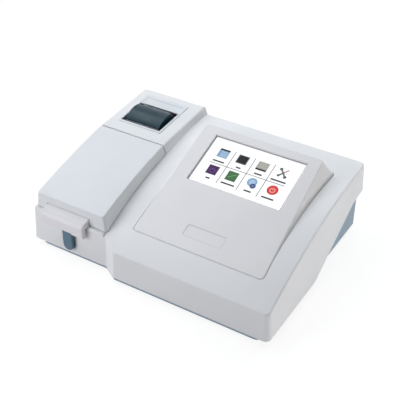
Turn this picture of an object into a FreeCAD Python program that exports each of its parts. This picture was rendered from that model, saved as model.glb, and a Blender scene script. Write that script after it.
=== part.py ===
import FreeCAD, Part
import os
from math import cos, hypot, pi, radians, sin, sqrt, tan
from FreeCAD import Placement, Rotation, Vector

os.makedirs("parts", exist_ok=True)

# A bench-top semi-automatic chemistry analyzer, in millimetres, +Z up.
# It is drawn with y = 0 on the foot line of the front wall, y growing to the back, and z = 0 on the table.
# save() moves every piece so that the origin is the centre of the base.

# Widths from left to right: the unit under the flap, the valley, the display panel, the shoulder
MODULE_W = 125.8
VALLEY_W = 38.5
PANEL_W = 210.7
SHOULDER_W = 35.0
WIDTH = MODULE_W + VALLEY_W + PANEL_W + SHOULDER_W
LEFT = -WIDTH / 2
RIGHT = WIDTH / 2

# Depths from front to back: the ledge of the sampling head, the flap, the printer housing
FLAP_FRONT = 27.0
FLAP_L = 160.0
HOUSE_L = 130.0
BLOCK_FRONT = FLAP_FRONT + FLAP_L
DEPTH = BLOCK_FRONT + HOUSE_L

# Walls and edges of the housing
WALL = 2.8
DRAFT = 2.7
CORNER_R = 8.5
LEFT_CORNER_R = 3.6
EDGE_R = 2.6
FOOT_GAP = 5.0
SKIRT_Z = 9.6

# Deck: one shallow arc from the front wall to the back
FRONT_TOP = 53.7
MID_TOP = 99.0
MID_Y = DEPTH / 2 - 19.5
REAR_TOP = 119.2

# The left part of the front wall stands back from the right part
JOG = 14.6
JOG_START_X = LEFT + MODULE_W + 9.2
JOG_END_X = LEFT + MODULE_W + VALLEY_W - 5.8
PLINTH_TOP = 65.0
PLINTH_LEAN = 15.0

# The lower edge of the side walls rises to the back and shows the tray
RISE_START_Y = DEPTH - 174.0
RISE_END_Y = DEPTH - 46.0
RISE_TOP = 69.0
REAR_EDGE_Z = 76.0

# Raised printer housing behind the flap
BLOCK_RIGHT_X = LEFT + MODULE_W - 1.6
BLOCK_FRONT_TOP = 124.0
BLOCK_SLOPE = 3.9
SIDE_LEAN = 16.5

# Flap over the sampling bay
FLAP_RIGHT_X = LEFT + MODULE_W
FLAP_WALL = 2.5
FLAP_GAP = 1.5
FLAP_FOOT_GAP = 1.0
FLAP_FRONT_TOP = 87.6
FLAP_FRONT_LEAN = 9.5
FLAP_MID_Y = FLAP_FRONT + FLAP_L / 2 - 2.0
FLAP_MID_TOP = 108.2
FLAP_CORNER_R = 3.5
FLAP_EDGE_R = 1.8
HINGE_SETBACK = 6.0
HINGE_DROP = 4.3
HINGE_PIN_R = 1.0

# Sampling bay, a well in the upper cover
BAY_X = (LEFT + 15.0, FLAP_RIGHT_X - 12.8)
BAY_Y = (FLAP_FRONT + 9.0, BLOCK_FRONT - 15.0)
BAY_FLOOR = 38.0
BAY_WALL = 2.5

# Display panel
PANEL_FRONT = 44.0
PANEL_BACK = DEPTH - 67.0
PANEL_LEFT = FLAP_RIGHT_X + VALLEY_W
PANEL_RIGHT = PANEL_LEFT + PANEL_W
PANEL_TILT = 19.4
PANEL_LIP = 0.6
PANEL_WALL = 2.5
PANEL_GROOVE = 0.9
PANEL_SEAT = 1.4
SCREEN_X = (PANEL_LEFT + PANEL_RIGHT) / 2 - 2.65
SCREEN_Y = PANEL_BACK - 58.1
SCREEN_W = 154.0
SCREEN_H = 92.0

# Printer, drawn flat and laid on the slope of its housing
PRINTER_X = (LEFT + BLOCK_RIGHT_X) / 2
PRINTER_Y = BLOCK_FRONT + 22.4
PRINTER_L = 84.6
PRINTER_RIM = 3.5
DOOR_W = 73.0
DOOR_SIDE_GAP = 5.0
PRINTER_W = DOOR_W + 2 * PRINTER_RIM
DOOR_BULGE = 9.6
ROLL_R = 17.0
ROLL_W = DOOR_W - 15.5

# Sampling head and aspiration key
HEAD_X = (LEFT + 24.0, FLAP_RIGHT_X - 24.8)
HEAD_FRONT = JOG - 6.2
HEAD_BACK = FLAP_FRONT + 7.0
HEAD_BOTTOM = 49.5
HEAD_SHOULDER = 64.0
HEAD_WALL = 2.0
KEY_W = 17.0
KEY_X = (HEAD_X[1] - 23.0 - KEY_W, HEAD_X[1] - 23.0)
KEY_FRONT = HEAD_FRONT + 0.6
KEY_THICK = 6.0
KEY_BOTTOM = 16.8
KEY_PIVOT_Z = 57.0
KEY_GAP = 1.5
KEY_BLADE_TOP = 51.4

# Optical path, along X through the flow cell
PUMP_Y = BAY_Y[1] - 33.0
BEAM_Y = PUMP_Y - 63.0
BEAM_Z = 54.0
BEAM_R = 3.0

# Clearances
RUN = 0.05
LOOSE = 0.3
BOARD = 1.6
SHEET = 1.2

TAN_DRAFT = tan(radians(DRAFT))
REAR_FACE_Y = DEPTH - TAN_DRAFT * (REAR_EDGE_Z - SKIRT_Z)
ORIGIN_Y = REAR_FACE_Y / 2
X, Y, Z = Vector(1, 0, 0), Vector(0, 1, 0), Vector(0, 0, 1)
nodes = []


def save(name, shape):
    """Move a piece to the row's origin and write it."""
    moved = shape.copy()
    moved.translate(Vector(0, -ORIGIN_Y, 0))
    moved.exportStep("parts/" + name + ".step")
    nodes.append(name)


def box(x, y, z):
    """Block between two x, two y and two z values."""
    return Part.makeBox(x[1] - x[0], y[1] - y[0], z[1] - z[0], Vector(x[0], y[0], z[0]))


def rod(start, axis, radius, length):
    return Part.makeCylinder(radius, length, start, axis)


def ring(start, axis, outer, inner, length):
    return rod(start, axis, outer, length).cut(rod(start, axis, inner, length))


def prism_x(outline, x):
    """Closed outline of (y, z) points, pushed along X."""
    points = [Vector(x[0], y, z) for y, z in outline]
    return Part.Face(Part.makePolygon(points + points[:1])).extrude(Vector(x[1] - x[0], 0, 0))


def trim(shape, point, outward):
    """Cut away what lies beyond a plane."""
    size = 1200.0
    slab = Part.makeBox(size, size, size, Vector(-size / 2, -size / 2, 0))
    slab.Placement = Placement(point, Rotation(Z, outward))
    return shape.cut(slab)


def join(shapes):
    """Fuse pieces and keep the seams between their faces."""
    whole = shapes[0]
    for shape in shapes[1:]:
        whole = whole.fuse(shape)
    return whole


def fuse(shapes):
    return join(shapes).removeSplitter()


def group(shapes):
    return Part.makeCompound(shapes)


def round_edges(shape, radius, wanted):
    """Fillet the edges whose middle point passes the test."""
    chosen = [e for e in shape.Edges if wanted(e, e.valueAt((e.FirstParameter + e.LastParameter) / 2))]
    return shape.makeFillet(radius, chosen)


def along(edge, direction, limit=0.999):
    """True for a straight edge that runs the given way."""
    if edge.Curve.TypeId != "Part::GeomLine":
        return False
    return abs(edge.Curve.Direction.normalize().dot(direction)) > limit


def arc_through(a, b, c):
    """Centre (y, z) and radius of the circle through three (y, z) points."""
    ay, az, by, bz, cy, cz = a[0], a[1], b[0], b[1], c[0], c[1]
    d = 2 * (ay * (bz - cz) + by * (cz - az) + cy * (az - bz))
    aa, bb, cc = ay * ay + az * az, by * by + bz * bz, cy * cy + cz * cz
    y = (aa * (bz - cz) + bb * (cz - az) + cc * (az - bz)) / d
    z = (aa * (cy - by) + bb * (ay - cy) + cc * (by - ay)) / d
    return y, z, hypot(ay - y, az - z)


DECK_ARC = arc_through((0.0, FRONT_TOP), (MID_Y, MID_TOP), (DEPTH, REAR_TOP))


def arc_z(arc, y):
    return arc[1] + sqrt(arc[2] ** 2 - (y - arc[0]) ** 2)


def deck_z(y):
    return arc_z(DECK_ARC, y)


def under_arc(arc, inset, y, x):
    """Everything below an arc, between two y and two x values."""
    radius = arc[2] - inset
    lowered = (arc[0], arc[1], radius)
    ends = [Vector(x[0], v, arc_z(lowered, v)) for v in (y[0], (y[0] + y[1]) / 2, y[1])]
    low = -20.0
    top = Part.Arc(*ends).toShape()
    sides = Part.makePolygon([ends[2], Vector(x[0], y[1], low), Vector(x[0], y[0], low), ends[0]])
    return Part.Face(Part.Wire([top] + sides.Edges)).extrude(Vector(x[1] - x[0], 0, 0))


def inset_loop(points, distance):
    """Move each side of a closed outline inwards. The outline runs anticlockwise."""
    count = len(points)
    lines = []
    for i in range(count):
        (x0, y0), (x1, y1) = points[i], points[(i + 1) % count]
        length = hypot(x1 - x0, y1 - y0)
        nx, ny = -(y1 - y0) / length, (x1 - x0) / length
        lines.append((x0 + nx * distance, y0 + ny * distance, (x1 - x0) / length, (y1 - y0) / length))
    moved = []
    for i in range(count):
        ax, ay, ux, uy = lines[i - 1]
        bx, by, vx, vy = lines[i]
        t = ((bx - ax) * vy - (by - ay) * vx) / (ux * vy - uy * vx)
        moved.append((ax + ux * t, ay + uy * t))
    return moved


def rounded_wire(points, radii, z):
    """Closed wire at height z, each corner an arc of its own radius."""
    count = len(points)
    starts, ends, mids = [], [], []
    for i in range(count):
        corner = Vector(points[i][0], points[i][1], z)
        back = (Vector(points[i - 1][0], points[i - 1][1], z) - corner).normalize()
        ahead = (Vector(points[(i + 1) % count][0], points[(i + 1) % count][1], z) - corner).normalize()
        half = back.getAngle(ahead) / 2
        reach = radii[i] / tan(half)
        middle = (back + ahead).normalize()
        starts.append(corner + back * reach)
        ends.append(corner + ahead * reach)
        mids.append(corner + middle * (radii[i] / sin(half) - radii[i]))
    edges = []
    for i in range(count):
        edges.append(Part.Arc(starts[i], mids[i], ends[i]).toShape())
        edges.append(Part.makeLine(ends[i], starts[(i + 1) % count]))
    return Part.Wire(edges)


PLAN = [(-WIDTH / 2, JOG), (JOG_START_X, JOG), (JOG_END_X, 0.0), (WIDTH / 2, 0.0),
        (WIDTH / 2, DEPTH), (-WIDTH / 2, DEPTH)]
PLAN_CONVEX = [True, False, True, True, True, True]
PLAN_RADII = [LEFT_CORNER_R, 6.0, 4.5, CORNER_R, CORNER_R, LEFT_CORNER_R + 2.0]
HULL_HIGH = 150.0
LEAST_R = 0.4


def plan_wire(z, inset):
    """Outline of the housing at one height, drafted inwards as it rises."""
    move = inset + TAN_DRAFT * (z - SKIRT_Z)
    radii = [max(r - inset, LEAST_R) if out else r + inset for r, out in zip(PLAN_RADII, PLAN_CONVEX)]
    return rounded_wire(inset_loop(PLAN, move), radii, z)


def column(inset, low=SKIRT_Z):
    """The drafted outline of the housing as a tall block."""
    return Part.makeLoft([plan_wire(low, inset), plan_wire(HULL_HIGH, inset)], True, True)


def right_trim(shape, front, back, inset):
    """Leaning right wall whose upper edge runs between two points."""
    along_top = Vector(*back) - Vector(*front)
    down = Vector(tan(radians(SIDE_LEAN)), 0, -1)
    out = down.cross(along_top).normalize()
    return trim(shape, Vector(*front) - out * inset, out)


def block_top(y):
    """Height of the printer housing's flat top."""
    return BLOCK_FRONT_TOP + (y - BLOCK_FRONT) * tan(radians(BLOCK_SLOPE))


def deck_body(inset, low=SKIRT_Z):
    wide = (-WIDTH, WIDTH)
    return column(inset, low).common(under_arc(DECK_ARC, inset, (-20.0, DEPTH + 20.0), wide))


def printer_block(inset, low):
    """The raised housing behind the flap, standing on the deck."""
    slope = radians(BLOCK_SLOPE)
    up = Vector(0, -sin(slope), cos(slope))
    rear = (BLOCK_RIGHT_X - 1.0, DEPTH, block_top(DEPTH))
    shape = right_trim(column(inset), (BLOCK_RIGHT_X, BLOCK_FRONT, BLOCK_FRONT_TOP), rear, inset)
    shape = trim(shape, Vector(0, 0, low), Z * -1)
    shape = trim(shape, Vector(0, BLOCK_FRONT + inset, 0), Vector(0, -1, 0))
    return trim(shape, Vector(0, BLOCK_FRONT, BLOCK_FRONT_TOP) - up * inset, up)


def plinth(inset, low):
    """The low step in front of the flap."""
    lean = radians(PLINTH_LEAN)
    out = Vector(cos(lean), 0, sin(lean))
    shape = trim(column(inset), Vector(0, 0, PLINTH_TOP - inset), Z)
    shape = trim(shape, Vector(0, 0, low), Z * -1)
    shape = trim(shape, Vector(JOG_START_X - 5.0, 0, PLINTH_TOP) - out * inset, out)
    return trim(shape, Vector(0, FLAP_FRONT + 8.0, 0), Y)


HOUSE_SEAM_Z = 100.0
PLINTH_LOW = 40.0


def cover_outside():
    """Deck and plinth as one solid with rounded upper edges, notched for the printer housing."""
    base = round_edges(deck_body(0.0), EDGE_R, lambda edge, point: abs(point.z - deck_z(point.y)) < 0.06)
    step = round_edges(plinth(0.0, PLINTH_LOW), 1.5, lambda edge, point: abs(point.z - PLINTH_TOP) < 0.01
                       and point.y < FLAP_FRONT)
    return join([base, step]).cut(printer_block(0.0, HOUSE_SEAM_Z))


# Places that several pieces share
TRAY_FLOOR = FOOT_GAP
TRAY_TOP = TRAY_FLOOR + WALL
TRAY_X = WIDTH / 2 - 11.5
TRAY_BACK = REAR_FACE_Y - WALL - LOOSE
SCREW_R = 1.5
SCREW_SPOTS = [(LEFT + 25.0, 26.5), (RIGHT - 23.0, 40.0), (LEFT + 23.0, DEPTH - 18.0),
               (RIGHT - 23.0, DEPTH - 27.0)]
BOSS_R = 4.2
BOSS_RIB_T = 2.0
FLAP_REAR = BLOCK_FRONT - FLAP_GAP
FLAP_ARC = arc_through((FLAP_FRONT, FLAP_FRONT_TOP), (FLAP_MID_Y, FLAP_MID_TOP),
                       (BLOCK_FRONT, BLOCK_FRONT_TOP))
HINGE_Y = FLAP_REAR - HINGE_SETBACK
HINGE_Z = arc_z(FLAP_ARC, HINGE_Y) - HINGE_DROP
LUG_THICK = 4.0
LUG_X = (LEFT + 9.4, FLAP_RIGHT_X - 12.2)
LUG_R = 2.7
LUG_PLAY = 0.6
PUMP_X = BAY_X[1] - 38.0
SHAFT_R = 2.5
KEY_PIVOT_Y = KEY_FRONT + KEY_THICK - 0.5
RECESS_X = (KEY_X[0] - 6.0, KEY_X[1] + KEY_GAP)
RECESS_BOTTOM = KEY_BOTTOM - KEY_GAP


def key_outline(x, bottom, top, grow=0.0):
    """U-shaped outline, rounded below, in the X-Z plane at y = 0."""
    left, right = x[0] - grow, x[1] + grow
    radius = min((right - left) / 2 - 0.01, 11.0)
    low = bottom - grow
    a, b = Vector(left, 0, top), Vector(left, 0, low + radius)
    c, d = Vector(left + radius, 0, low), Vector(right - radius, 0, low)
    e, f = Vector(right, 0, low + radius), Vector(right, 0, top)
    k = radius * (1 - sqrt(0.5))
    first = Part.Arc(b, Vector(left + k, 0, low + k), c).toShape()
    second = Part.Arc(d, Vector(right - k, 0, low + k), e).toShape()
    return Part.Wire([Part.makeLine(a, b), first, Part.makeLine(c, d), second, Part.makeLine(e, f),
                      Part.makeLine(f, a)])


def key_prism(x, bottom, top, y):
    face = Part.Face(key_outline(x, bottom, top))
    face.translate(Vector(0, y[0], 0))
    return face.extrude(Vector(0, y[1] - y[0], 0))


# Display panel: a wedge whose walls lean in as they rise
TILT = radians(PANEL_TILT)
PANEL_UP = Vector(0, -sin(TILT), cos(TILT))
PANEL_FOOT = Vector(0, PANEL_FRONT, deck_z(PANEL_FRONT) + PANEL_LIP)
SCREEN_Z = PANEL_FOOT.z + (SCREEN_Y - PANEL_FRONT) * tan(TILT)
SCREEN_PLACE = Placement(Vector(SCREEN_X, SCREEN_Y, SCREEN_Z), Rotation(X, PANEL_TILT))
PANEL_BACK_LEAN = 27.0
PANEL_RIGHT_LEAN = 25.4
PANEL_LEFT_LEAN = 16.6
PANEL_TURN = 6.0
PANEL_CORNER_R = 7.0
PANEL_RIM_R = 2.2


def wedge(inset, low=50.0):
    """Body of the display panel between its five outer planes."""
    shape = box((-WIDTH, WIDTH), (-DEPTH, 2 * DEPTH), (low, 240.0))
    shape = trim(shape, PANEL_FOOT - PANEL_UP * inset, PANEL_UP)
    front = Vector(0, -cos(radians(8.0)), sin(radians(8.0)))
    shape = trim(shape, PANEL_FOOT - front * inset, front)
    lean = radians(PANEL_BACK_LEAN)
    back = Vector(0, cos(lean), sin(lean))
    rear_top = Vector(0, PANEL_BACK, PANEL_FOOT.z + (PANEL_BACK - PANEL_FRONT) * tan(TILT))
    shape = trim(shape, rear_top - back * inset, back)
    turn = radians(PANEL_TURN)
    for side, lean, x in ((1, PANEL_RIGHT_LEAN, PANEL_RIGHT), (-1, PANEL_LEFT_LEAN, PANEL_LEFT)):
        flat = cos(radians(lean))
        out = Vector(side * flat * cos(turn), -flat * sin(turn), sin(radians(lean)))
        shape = trim(shape, Vector(x, PANEL_FRONT, PANEL_FOOT.z) - out * inset, out)
    return shape


def is_wedge_corner(edge, point):
    """The four edges that stand up at the panel's corners."""
    if edge.Curve.TypeId != "Part::GeomLine":
        return False
    return abs(edge.Curve.Direction.z) > 0.6


def is_wedge_rim(edge, point):
    off = (point - PANEL_FOOT).dot(PANEL_UP)
    return abs(off) < 0.01 and point.y > PANEL_FRONT + 1.0


def on_screen(shape):
    """Put a piece drawn flat, face up, behind the screen window."""
    placed = shape.copy()
    placed.Placement = SCREEN_PLACE.multiply(placed.Placement)
    return placed


def centred(width, height, w, centre=(0.0, 0.0)):
    """Plate about a centre, between two heights."""
    x, y = centre
    return box((x - width / 2, x + width / 2), (y - height / 2, y + height / 2), w)


def round_plate(width, height, w, radius, centre=(0.0, 0.0)):
    """The same with rounded corners."""
    plate = centred(width, height, w, centre)
    return round_edges(plate, radius, lambda edge, point: along(edge, Z))


PLATE_W = 62.0
PLATE_H = 19.0
PLATE_DEPTH = 0.4
PLATE_RISE = 30.3
PLATE_DROP = (SCREEN_Y - PANEL_FRONT) / cos(TILT) - PLATE_RISE
PANEL_OPENING = ((SCREEN_X - SCREEN_W / 2 - 13.0, SCREEN_X + SCREEN_W / 2 + 17.0),
                 (PANEL_FRONT + 18.0, PANEL_BACK - 7.0))


def display_panel():
    """Wedge-shaped bezel with the screen window and the bare nameplate recess."""
    solid = round_edges(wedge(0.0), PANEL_CORNER_R, is_wedge_corner)
    solid = round_edges(solid, PANEL_RIM_R, is_wedge_rim)
    below = under_arc(DECK_ARC, PANEL_SEAT, (-20.0, DEPTH + 20.0), (-WIDTH, WIDTH))
    solid = solid.cut(below)
    solid = solid.cut(wedge(PANEL_WALL))
    window = centred(SCREEN_W, SCREEN_H, (-6.0, 3.0))
    low_mouth = centred(SCREEN_W, SCREEN_H, (-0.8, 0.0)).Faces[4].OuterWire
    high_mouth = centred(SCREEN_W + 3.2, SCREEN_H + 3.2, (0.8, 1.6)).Faces[4].OuterWire
    flare = Part.makeLoft([low_mouth, high_mouth], True, True)
    plate = round_plate(PLATE_W, PLATE_H, (-PLATE_DEPTH, 2.0), 2.5, (0.0, -PLATE_DROP))
    return solid.cut(on_screen(fuse([window, flare]))).cut(on_screen(plate))


# Screen: gasket, glass, display unit and the sheet frame that holds them
GASKET_W = 1.6
GASKET_T = 0.8
GLASS_T = 1.8
LCD_T = 5.6
GLASS_TOP = -PANEL_WALL - GASKET_T
LCD_TOP = GLASS_TOP - GLASS_T
LCD_LOW = LCD_TOP - LCD_T


def screen_gasket():
    w = (-PANEL_WALL - GASKET_T, -PANEL_WALL)
    outer = centred(SCREEN_W + 6.0, SCREEN_H + 6.0, w)
    inner = centred(SCREEN_W - 2 * GASKET_W, SCREEN_H - 2 * GASKET_W, w)
    return on_screen(outer.cut(inner))


def touch_glass():
    return on_screen(centred(SCREEN_W + 8.0, SCREEN_H + 9.0, (LCD_TOP, GLASS_TOP)))


def lcd_module():
    """Sealed display unit with its folded metal rim and its connector."""
    body = centred(SCREEN_W + 8.0, SCREEN_H + 7.0, (LCD_LOW, LCD_TOP))
    rear = centred(SCREEN_W - 10.0, SCREEN_H - 12.0, (LCD_LOW - 0.8, LCD_LOW))
    plug = box((30.0, 52.0), (-SCREEN_H / 2 + 8.0, -SCREEN_H / 2 + 14.0), (LCD_LOW - 3.0, LCD_LOW))
    return on_screen(fuse([body, rear, plug]))


def display_bracket():
    """Sheet frame that holds the display against the panel."""
    wide, high = SCREEN_W + 18.0, SCREEN_H + 12.0
    w = (LCD_LOW - SHEET, LCD_LOW)
    frame = centred(wide, high, w).cut(centred(SCREEN_W - 8.0, SCREEN_H - 10.0, w))
    tabs = []
    for side in (-1, 1):
        for v in (-SCREEN_H / 4, SCREEN_H / 4):
            x = sorted((side * wide / 2, side * (wide / 2 - SHEET)))
            tabs.append(box(x, (v - 8.0, v + 8.0), (LCD_LOW, -PANEL_WALL)))
    return on_screen(fuse([frame] + tabs))


def beam_rod(x, radius, length):
    return rod(Vector(x, BEAM_Y, BEAM_Z), X, radius, length)


# Upper cover with its bosses and hinge lugs, the bay and the printer housing
SCREW_GRIP = 10.0


def cover_screw_boss(spot):
    boss = rod(Vector(spot[0], spot[1], TRAY_TOP), Z, BOSS_R, 150.0)
    return boss.cut(rod(Vector(spot[0], spot[1], TRAY_TOP), Z, SCREW_R, SCREW_GRIP + 0.5))


def boss_rib(spot):
    """Rib to the rear wall, for the boss that stands under the printer housing."""
    x = (spot[0] - BOSS_RIB_T / 2, spot[0] + BOSS_RIB_T / 2)
    return box(x, (spot[1] + SCREW_R + 1.0, DEPTH), (REAR_EDGE_Z + 6.0, HOUSE_SEAM_Z))


def hinge_lug(x):
    """Lug of the flap hinge, standing on the deck."""
    barrel = rod(Vector(x, HINGE_Y, HINGE_Z), X, LUG_R, LUG_THICK)
    half = LUG_R - 0.4
    post = box((x, x + LUG_THICK), (HINGE_Y - half, HINGE_Y + half), (deck_z(HINGE_Y) - 1.5, HINGE_Z))
    return fuse([barrel, post]).cut(rod(Vector(x - 1, HINGE_Y, HINGE_Z), X, HINGE_PIN_R, LUG_THICK + 2))


def rise_cutter(x):
    """What the rising lower edge takes off one side wall."""
    outline = [(RISE_START_Y, SKIRT_Z - 5.0), (RISE_START_Y, SKIRT_Z), (RISE_END_Y, RISE_TOP),
               (DEPTH + 10.0, REAR_EDGE_Z), (DEPTH + 10.0, SKIRT_Z - 5.0)]
    return prism_x(outline, x)


def bay_box(grow, top):
    x, y = (BAY_X[0] - grow, BAY_X[1] + grow), (BAY_Y[0] - grow, BAY_Y[1] + grow)
    return box(x, y, (BAY_FLOOR - grow, top))


def upper_cover(outside):
    """Moulded cover: deck, walls, screw bosses and the lugs of the flap's hinge."""
    low = SKIRT_Z - 2.0
    shell = outside.cut(deck_body(WALL, low)).cut(plinth(WALL, PLINTH_LOW))
    bosses = [cover_screw_boss(spot).common(outside) for spot in SCREW_SPOTS]
    legs = [rod(Vector(s[0], s[1], TRAY_TOP), Z, BOSS_R, SKIRT_Z - TRAY_TOP + 1.0)
            .cut(rod(Vector(s[0], s[1], TRAY_TOP), Z, SCREW_R, 5.0)) for s in SCREW_SPOTS]
    shell = join([shell, boss_rib(SCREW_SPOTS[2]).common(outside)] + bosses + legs)
    shell = shell.cut(bay_box(0.0, 200.0))
    seat = round_edges(wedge(-PANEL_GROOVE), PANEL_CORNER_R + PANEL_GROOVE, is_wedge_corner)
    shell = shell.cut(seat.cut(under_arc(DECK_ARC, PANEL_SEAT, (-20.0, DEPTH + 20.0), (-WIDTH, WIDTH))))
    shell = shell.cut(box(PANEL_OPENING[0], PANEL_OPENING[1], (60.0, 200.0)))
    shell = shell.cut(key_prism(RECESS_X, RECESS_BOTTOM, HEAD_SHOULDER - 2.0, (HEAD_FRONT, JOG + WALL + 3.0)))
    for side in (-1, 1):
        shell = shell.cut(rise_cutter(sorted((side * (TRAY_X + 1.5), side * (WIDTH / 2 + 5.0)))))
    shell = shell.cut(box((-WIDTH, WIDTH), (TRAY_BACK, DEPTH + 10.0), (0.0, REAR_EDGE_Z)))
    return join([shell] + [hinge_lug(x) for x in LUG_X])


def sampling_bay():
    """Tub under the flap that carries the flow cell and the pump."""
    tub = bay_box(BAY_WALL, 150.0).common(deck_body(WALL)).cut(bay_box(0.0, 200.0))
    tub = tub.cut(rod(Vector(PUMP_X, PUMP_Y, BAY_FLOOR - BAY_WALL - 1), Z, SHAFT_R + 0.5, BAY_WALL + 2))
    return tub.cut(beam_rod(BAY_X[1] - 1.0, BEAM_R + 1.0, BAY_WALL + 2.0))


def printer_housing():
    """Raised housing of the printer, set into the cover behind the flap."""
    def top_rim(edge, point):
        return abs(point.z - block_top(point.y)) < 0.05 and point.y > BLOCK_FRONT + 1.0

    block = round_edges(printer_block(0.0, HOUSE_SEAM_Z), EDGE_R + 1.0, top_rim)
    block = block.cut(printer_block(WALL, HOUSE_SEAM_Z - 1.0))
    return block.cut(on_printer(box((-PRINTER_SKIRT_W / 2, PRINTER_SKIRT_W / 2),
                                    (PRINTER_EDGE, PRINTER_L - PRINTER_EDGE), (-30.0, 12.0))))


# Flap over the bay and the two pins it turns on
FLAP_SIDE_STEP = 0.6
PIN_L = 6.3
PIN_X = (LUG_X[0] + LUG_THICK - PIN_L, LUG_X[1])


def flap_profile(inset):
    """Space under the flap's arched top."""
    lean = radians(FLAP_FRONT_LEAN)
    front = Vector(0, -cos(lean), sin(lean))
    y = (FLAP_FRONT - 10.0, FLAP_REAR - inset)
    corner = Vector(0, FLAP_FRONT, FLAP_FRONT_TOP)
    return trim(under_arc(FLAP_ARC, inset, y, (-WIDTH, WIDTH)), corner - front * inset, front)


def flap_body(inset):
    """Outside of the flap, or the space inside it, down to the table."""
    left = Vector(-cos(radians(DRAFT)), 0, sin(radians(DRAFT)))
    edge = Vector(FLAP_SIDE_STEP - WIDTH / 2, 0, SKIRT_Z)
    shape = trim(flap_profile(inset), edge - left * inset, left)
    front = (FLAP_RIGHT_X, FLAP_FRONT, FLAP_FRONT_TOP)
    return right_trim(shape, front, (BLOCK_RIGHT_X, BLOCK_FRONT, BLOCK_FRONT_TOP), inset)


def flap_cover():
    """Hinged flap over the sampling bay, a lid with walls on three sides."""
    solid = flap_body(0.0)

    def upright_front(edge, point):
        steep = edge.Curve.TypeId == "Part::GeomLine" and abs(edge.Curve.Direction.z) > 0.9
        return steep and point.y < FLAP_FRONT + 0.5

    def top_rim(edge, point):
        return abs(point.z - arc_z(FLAP_ARC, point.y)) < 0.02 and point.y < FLAP_REAR - 1.0

    def top_rear(edge, point):
        return abs(point.z - arc_z(FLAP_ARC, point.y)) < 0.02 and abs(point.y - FLAP_REAR) < 0.1

    solid = round_edges(solid, FLAP_CORNER_R, upright_front)
    solid = round_edges(solid, FLAP_EDGE_R, top_rim)
    solid = round_edges(solid, 1.2, lambda e, p: top_rear(e, p) and along(e, X))
    solid = solid.cut(flap_body(FLAP_WALL))
    back = (FLAP_REAR - FLAP_WALL - 1.0, FLAP_REAR + 1.0)
    solid = solid.cut(box((LUG_X[0] - LUG_PLAY, LUG_X[1] + LUG_THICK + LUG_PLAY), back, (0.0, HINGE_Z + 1.2)))
    gap = FLAP_FOOT_GAP
    solid = solid.cut(under_arc(DECK_ARC, -gap, (-20.0, DEPTH + 20.0), (-WIDTH, WIDTH)))
    solid = solid.cut(box((-WIDTH, WIDTH), (0.0, FLAP_FRONT + 14.0), (0.0, PLINTH_TOP + gap)))
    solid = solid.cut(head_profile((HEAD_X[0] - gap, HEAD_X[1] + gap), gap))
    boss_end = LUG_X[0] - 0.4, LUG_X[1] + LUG_THICK + 0.4
    outer_x = (-WIDTH / 2 + FLAP_SIDE_STEP + 4.0, BLOCK_RIGHT_X + 2.0)
    bosses = [rod(Vector(outer_x[0], HINGE_Y, HINGE_Z), X, LUG_R, boss_end[0] - outer_x[0]),
              rod(Vector(boss_end[1], HINGE_Y, HINGE_Z), X, LUG_R, outer_x[1] - boss_end[1])]
    bosses = [boss.common(flap_body(0.5)) for boss in bosses]
    solid = fuse([solid] + bosses)
    for x in LUG_X:
        solid = solid.cut(rod(Vector(x - LOOSE, HINGE_Y, HINGE_Z), X, LUG_R + 0.5, LUG_THICK + 2 * LOOSE))
        solid = solid.cut(box((x - LUG_PLAY, x + LUG_THICK + LUG_PLAY), back, (HINGE_Z, HINGE_Z + 2.7)))
    sweep = rod(Vector(-WIDTH / 2, HINGE_Y, HINGE_Z), X, 40.0, WIDTH / 2)
    corner_r = HINGE_Z - deck_z(HINGE_Y + 4.0) - 0.8
    sweep = sweep.cut(rod(Vector(-WIDTH / 2, HINGE_Y, HINGE_Z), X, corner_r, WIDTH / 2))
    solid = solid.cut(sweep.common(box((-WIDTH, WIDTH), (HINGE_Y, FLAP_REAR + 1.0), (0.0, HINGE_Z))))
    for x, length in ((PIN_X[0], PIN_L), (PIN_X[1], PIN_L)):
        solid = solid.cut(rod(Vector(x - 0.3, HINGE_Y, HINGE_Z), X, HINGE_PIN_R + RUN, length + 0.6))
    return solid


def flap_hinge_pins():
    return group([rod(Vector(x, HINGE_Y, HINGE_Z), X, HINGE_PIN_R, PIN_L) for x in PIN_X])


# Sampling head with its probe, key and key switch
HEAD_PAD_X = KEY_X[0] - 1.0
HEAD_PAD = 1.0
HEAD_EDGE_R = 1.6
HEAD_END_R = 2.2
RIB_X = (KEY_X[0] + 1.6, KEY_X[1] - 1.6)
RIB_T = 2.0
KEY_RISE = 0.9
PIVOT_R = 1.5
KEY_HUB_R = 3.2
KEY_WALL = 2.4
PROBE_R = 0.8
PROBE_X = KEY_X[0] - 2.6
PROBE_Y = HEAD_FRONT + 4.0
PROBE_END_Z = 36.0
PROBE_TOP_Z = HEAD_SHOULDER - 4.0
TAIL_Z = 41.0
TAIL_END = 20.0
BRACKET_Y = BAY_Y[0] - BAY_WALL - 6.0
SWITCH_T = 5.0
BUTTON_GAP = 1.7


def head_profile(x, grow=0.0):
    """Outside of the sampling head: upright front, round shoulder, back under the flap."""
    front, low = HEAD_FRONT - grow, HEAD_BOTTOM - grow
    turn_y, turn_z = HEAD_FRONT + 8.6, HEAD_SHOULDER + 8.7 + grow
    back, back_z = HEAD_BACK + grow, HEAD_SHOULDER + 14.7 + grow
    a = Vector(x[0], front, low)
    b = Vector(x[0], front, HEAD_SHOULDER)
    mid = Vector(x[0], front + 2.9, HEAD_SHOULDER + 5.9 + grow * 0.6)
    c = Vector(x[0], turn_y, turn_z)
    d = Vector(x[0], back, back_z)
    e = Vector(x[0], back, low)
    wire = Part.Wire([Part.makeLine(a, b), Part.Arc(b, mid, c).toShape(), Part.makeLine(c, d),
                      Part.makeLine(d, e), Part.makeLine(e, a)])
    return Part.Face(wire).extrude(Vector(x[1] - x[0], 0, 0))


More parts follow.
